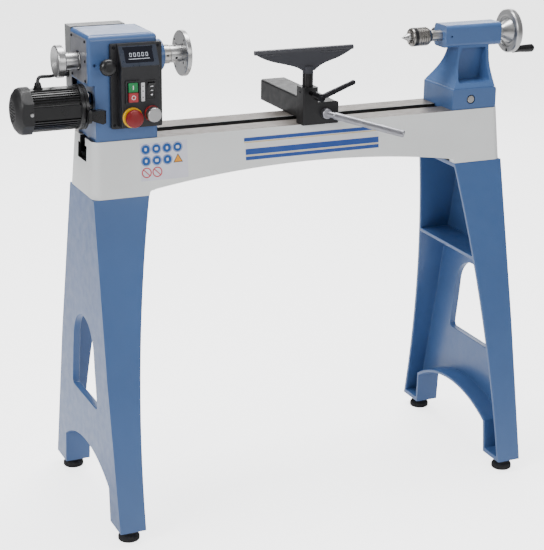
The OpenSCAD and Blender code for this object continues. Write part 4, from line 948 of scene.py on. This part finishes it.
def add_set_screws():
    """Two socket set screws in the faceplate's hub."""
    hub_x, hub_radius = 200, 17.9
    screw = ((-1.5, 0.0), (-1.5, 2.7), (1.2, 2.7), (1.5, 2.3), (1.5, 1.3), (0.2, 1.2), (0.2, 0.0))
    for index, angle in enumerate((20, 110)):
        out = Vector((0, -math.sin(math.radians(angle)), math.cos(math.radians(angle))))
        place = at(hub_x, 0, AXIS_Z) + out * hub_radius * MM
        add_piece(f"faceplate_screw_{index}", turned_mesh(screw, place, out, 20), M["oxide"], "spindle_set")


# The cable's route by x, y and z in millimetres, with the spindle's axis at ROUTE_AXIS_Z
ROUTE_AXIS_Z = 1075
CABLE_ROUTE = ((-128, -36, 1032), (-128, -36, 1040), (-126, -33, 1046), (-119, -25, 1049), (-104, -9, 1046),
               (-86, 13, 1041), (-68, 40, 1037), (-54, 62, 1034), (-46, 74, 1032), (-38, 78, 1032),
               (-26, 78, 1032))
CABLE_RADIUS = 3.8


def smooth_line(stops, steps):
    """Places on a smooth line through the stops, with this many steps between each pair."""
    line = []
    for i in range(len(stops) - 1):
        a, b = stops[max(i - 1, 0)], stops[i]
        c, d = stops[i + 1], stops[min(i + 2, len(stops) - 1)]
        for t in (k / steps for k in range(steps)):
            line.append(0.5 * (2 * b + (c - a) * t + (2 * a - 5 * b + 4 * c - d) * t ** 2
                               + (3 * b - a - 3 * c + d) * t ** 3))
    return line + [stops[-1]]


def add_motor_cable():
    """The motor's cable, which bends between its gland on the motor and the drive box."""
    stops = [at(x, y, z - ROUTE_AXIS_Z + AXIS_Z) for x, y, z in CABLE_ROUTE]
    line = smooth_line(stops, 4)
    cable = add_piece("motor_cable_bent", tube_mesh(line, CABLE_RADIUS, 20), M["cable"], None)
    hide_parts("motor_cable")
    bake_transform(cable)


add_stripe_label()
add_sign_label()
add_panel_marks()
add_display_bezel()
add_display_digits()
add_knurled_ring()
add_foot_threads()
add_lever_ribs()
add_weld_beads()
add_spindle_seal()
add_set_screws()
add_motor_cable()


# ---------- camera, floor and light ----------

# The camera stands a little to the left of the machine and looks down on it.
# Its place is measured from the middle of the left feet.
CAMERA_PLACE = Vector((LEFT_FEET_X - 1.0366, -3.3104, 1.7345))
YAW, PITCH, ROLL = math.radians(24.116), math.radians(18.553), math.radians(0.693)
FOCAL, SENSOR_WIDTH = 103.08, 36.0  # millimetres
CENTRE_SHIFT = 0.003

FLOOR_HALF = 60.0
SEEN_GLOW, THROWN_GLOW = 2.8, 0.25
WALL_GLOW, REFLECTED_GLOW = 2.2, 0.42
# Brightness of what the machine reflects, from straight down at 0 to straight up at 1
SKY = ((0.0, 0.10), (0.47, 0.10), (0.56, 0.06), (0.66, 0.35), (0.80, 0.9), (1.0, 1.0))
# Name, place, target, size in metres and power in watts of each light
LIGHTS = (("key", (-3.8, -1.3, 2.5), (0.0, 0.0, 0.8), (1.6, 1.6), 88.0),
          ("front", (0.6, -3.6, 2.2), (0.1, 0.0, 0.8), (2.2, 1.4), 38.0),
          ("top", (0.0, 0.4, 3.4), (0.0, 0.0, 0.9), (2.4, 1.2), 120.0),
          ("back", (1.5, 3.6, 2.4), (0.2, 0.0, 1.0), (4.0, 1.4), 70.0))


def add_camera():
    """The scene's camera, turned by YAW and PITCH and rolled by ROLL."""
    data = bpy.data.cameras.new("view")
    data.lens = FOCAL
    data.sensor_width = SENSOR_WIDTH
    data.sensor_fit = "AUTO"
    data.shift_x = CENTRE_SHIFT
    camera = bpy.data.objects.new("view", data)
    bpy.context.scene.collection.objects.link(camera)
    forward = Vector((math.sin(YAW) * math.cos(PITCH), math.cos(YAW) * math.cos(PITCH), -math.sin(PITCH)))
    level = forward.cross(Z).normalized()
    over = level.cross(forward)
    right = math.cos(ROLL) * level + math.sin(ROLL) * over
    up = right.cross(forward)
    turn = Matrix((right, up, -forward)).transposed()
    camera.matrix_world = Matrix.Translation(CAMERA_PLACE) @ turn.to_4x4()
    bpy.context.scene.camera = camera


def add_floor():
    """A white floor that glows as it is seen, and throws little of that light back on the machine."""
    mesh = bpy.data.meshes.new("floor")
    corners = [(x * FLOOR_HALF, y * FLOOR_HALF, 0) for x, y in ((-1, -1), (1, -1), (1, 1), (-1, 1))]
    mesh.from_pydata(corners, [], [(0, 1, 2, 3)])
    floor = bpy.data.objects.new("floor", mesh)
    bpy.context.scene.collection.objects.link(floor)
    s = Shader("studio_floor", srgb(246, 246, 247), 0.7)
    s.color(s.blend(s.noise(2.0), srgb(244, 244, 245), srgb(248, 248, 249)))
    s.set("Emission Color", (1.0, 1.0, 1.0, 1.0))
    seen = s.nodes.new("ShaderNodeLightPath").outputs["Is Camera Ray"]
    s.join(s.spread(seen, 0.0, 1.0, THROWN_GLOW, SEEN_GLOW), s.surface.inputs["Emission Strength"])
    mesh.materials.append(s.material)


def add_area_light(name, place, target, size, power):
    """A white rectangular light that faces its target."""
    data = bpy.data.lights.new(name, "AREA")
    data.shape = "RECTANGLE"
    data.size, data.size_y = size
    data.energy = power
    light = bpy.data.objects.new(name, data)
    bpy.context.scene.collection.objects.link(light)
    light.location = place
    light.rotation_euler = (Vector(target) - Vector(place)).to_track_quat("-Z", "Y").to_euler()


def add_world():
    """A pale studio. Its reflections darken towards the floor, so that bright metal shows dark bands."""
    world = bpy.data.worlds.new("studio")
    bpy.context.scene.world = world
    world.use_nodes = True
    nodes, links = world.node_tree.nodes, world.node_tree.links
    direction = nodes.new("ShaderNodeTexCoord").outputs["Generated"]
    split = nodes.new("ShaderNodeSeparateXYZ")
    links.new(direction, split.inputs[0])
    ramp = nodes.new("ShaderNodeValToRGB")
    for index, (where, value) in enumerate(SKY):
        stop = ramp.color_ramp.elements[index] if index < 2 else ramp.color_ramp.elements.new(where)
        stop.position = where
        stop.color = (value, value, value * 1.02, 1.0)
    shift = nodes.new("ShaderNodeMapRange")
    shift.inputs["From Min"].default_value = -1.0
    links.new(split.outputs["Z"], shift.inputs["Value"])
    links.new(shift.outputs["Result"], ramp.inputs["Fac"])
    links.new(ramp.outputs["Color"], nodes["Background"].inputs["Color"])
    nodes["Background"].inputs["Strength"].default_value = REFLECTED_GLOW
    wall = nodes.new("ShaderNodeBackground")
    wall.inputs["Strength"].default_value = WALL_GLOW
    choice = nodes.new("ShaderNodeMixShader")
    links.new(nodes.new("ShaderNodeLightPath").outputs["Is Camera Ray"], choice.inputs[0])
    links.new(nodes["Background"].outputs[0], choice.inputs[1])
    links.new(wall.outputs[0], choice.inputs[2])
    links.new(choice.outputs[0], nodes["World Output"].inputs["Surface"])


add_camera()
add_floor()
add_world()
for light_facts in LIGHTS:
    add_area_light(*light_facts)
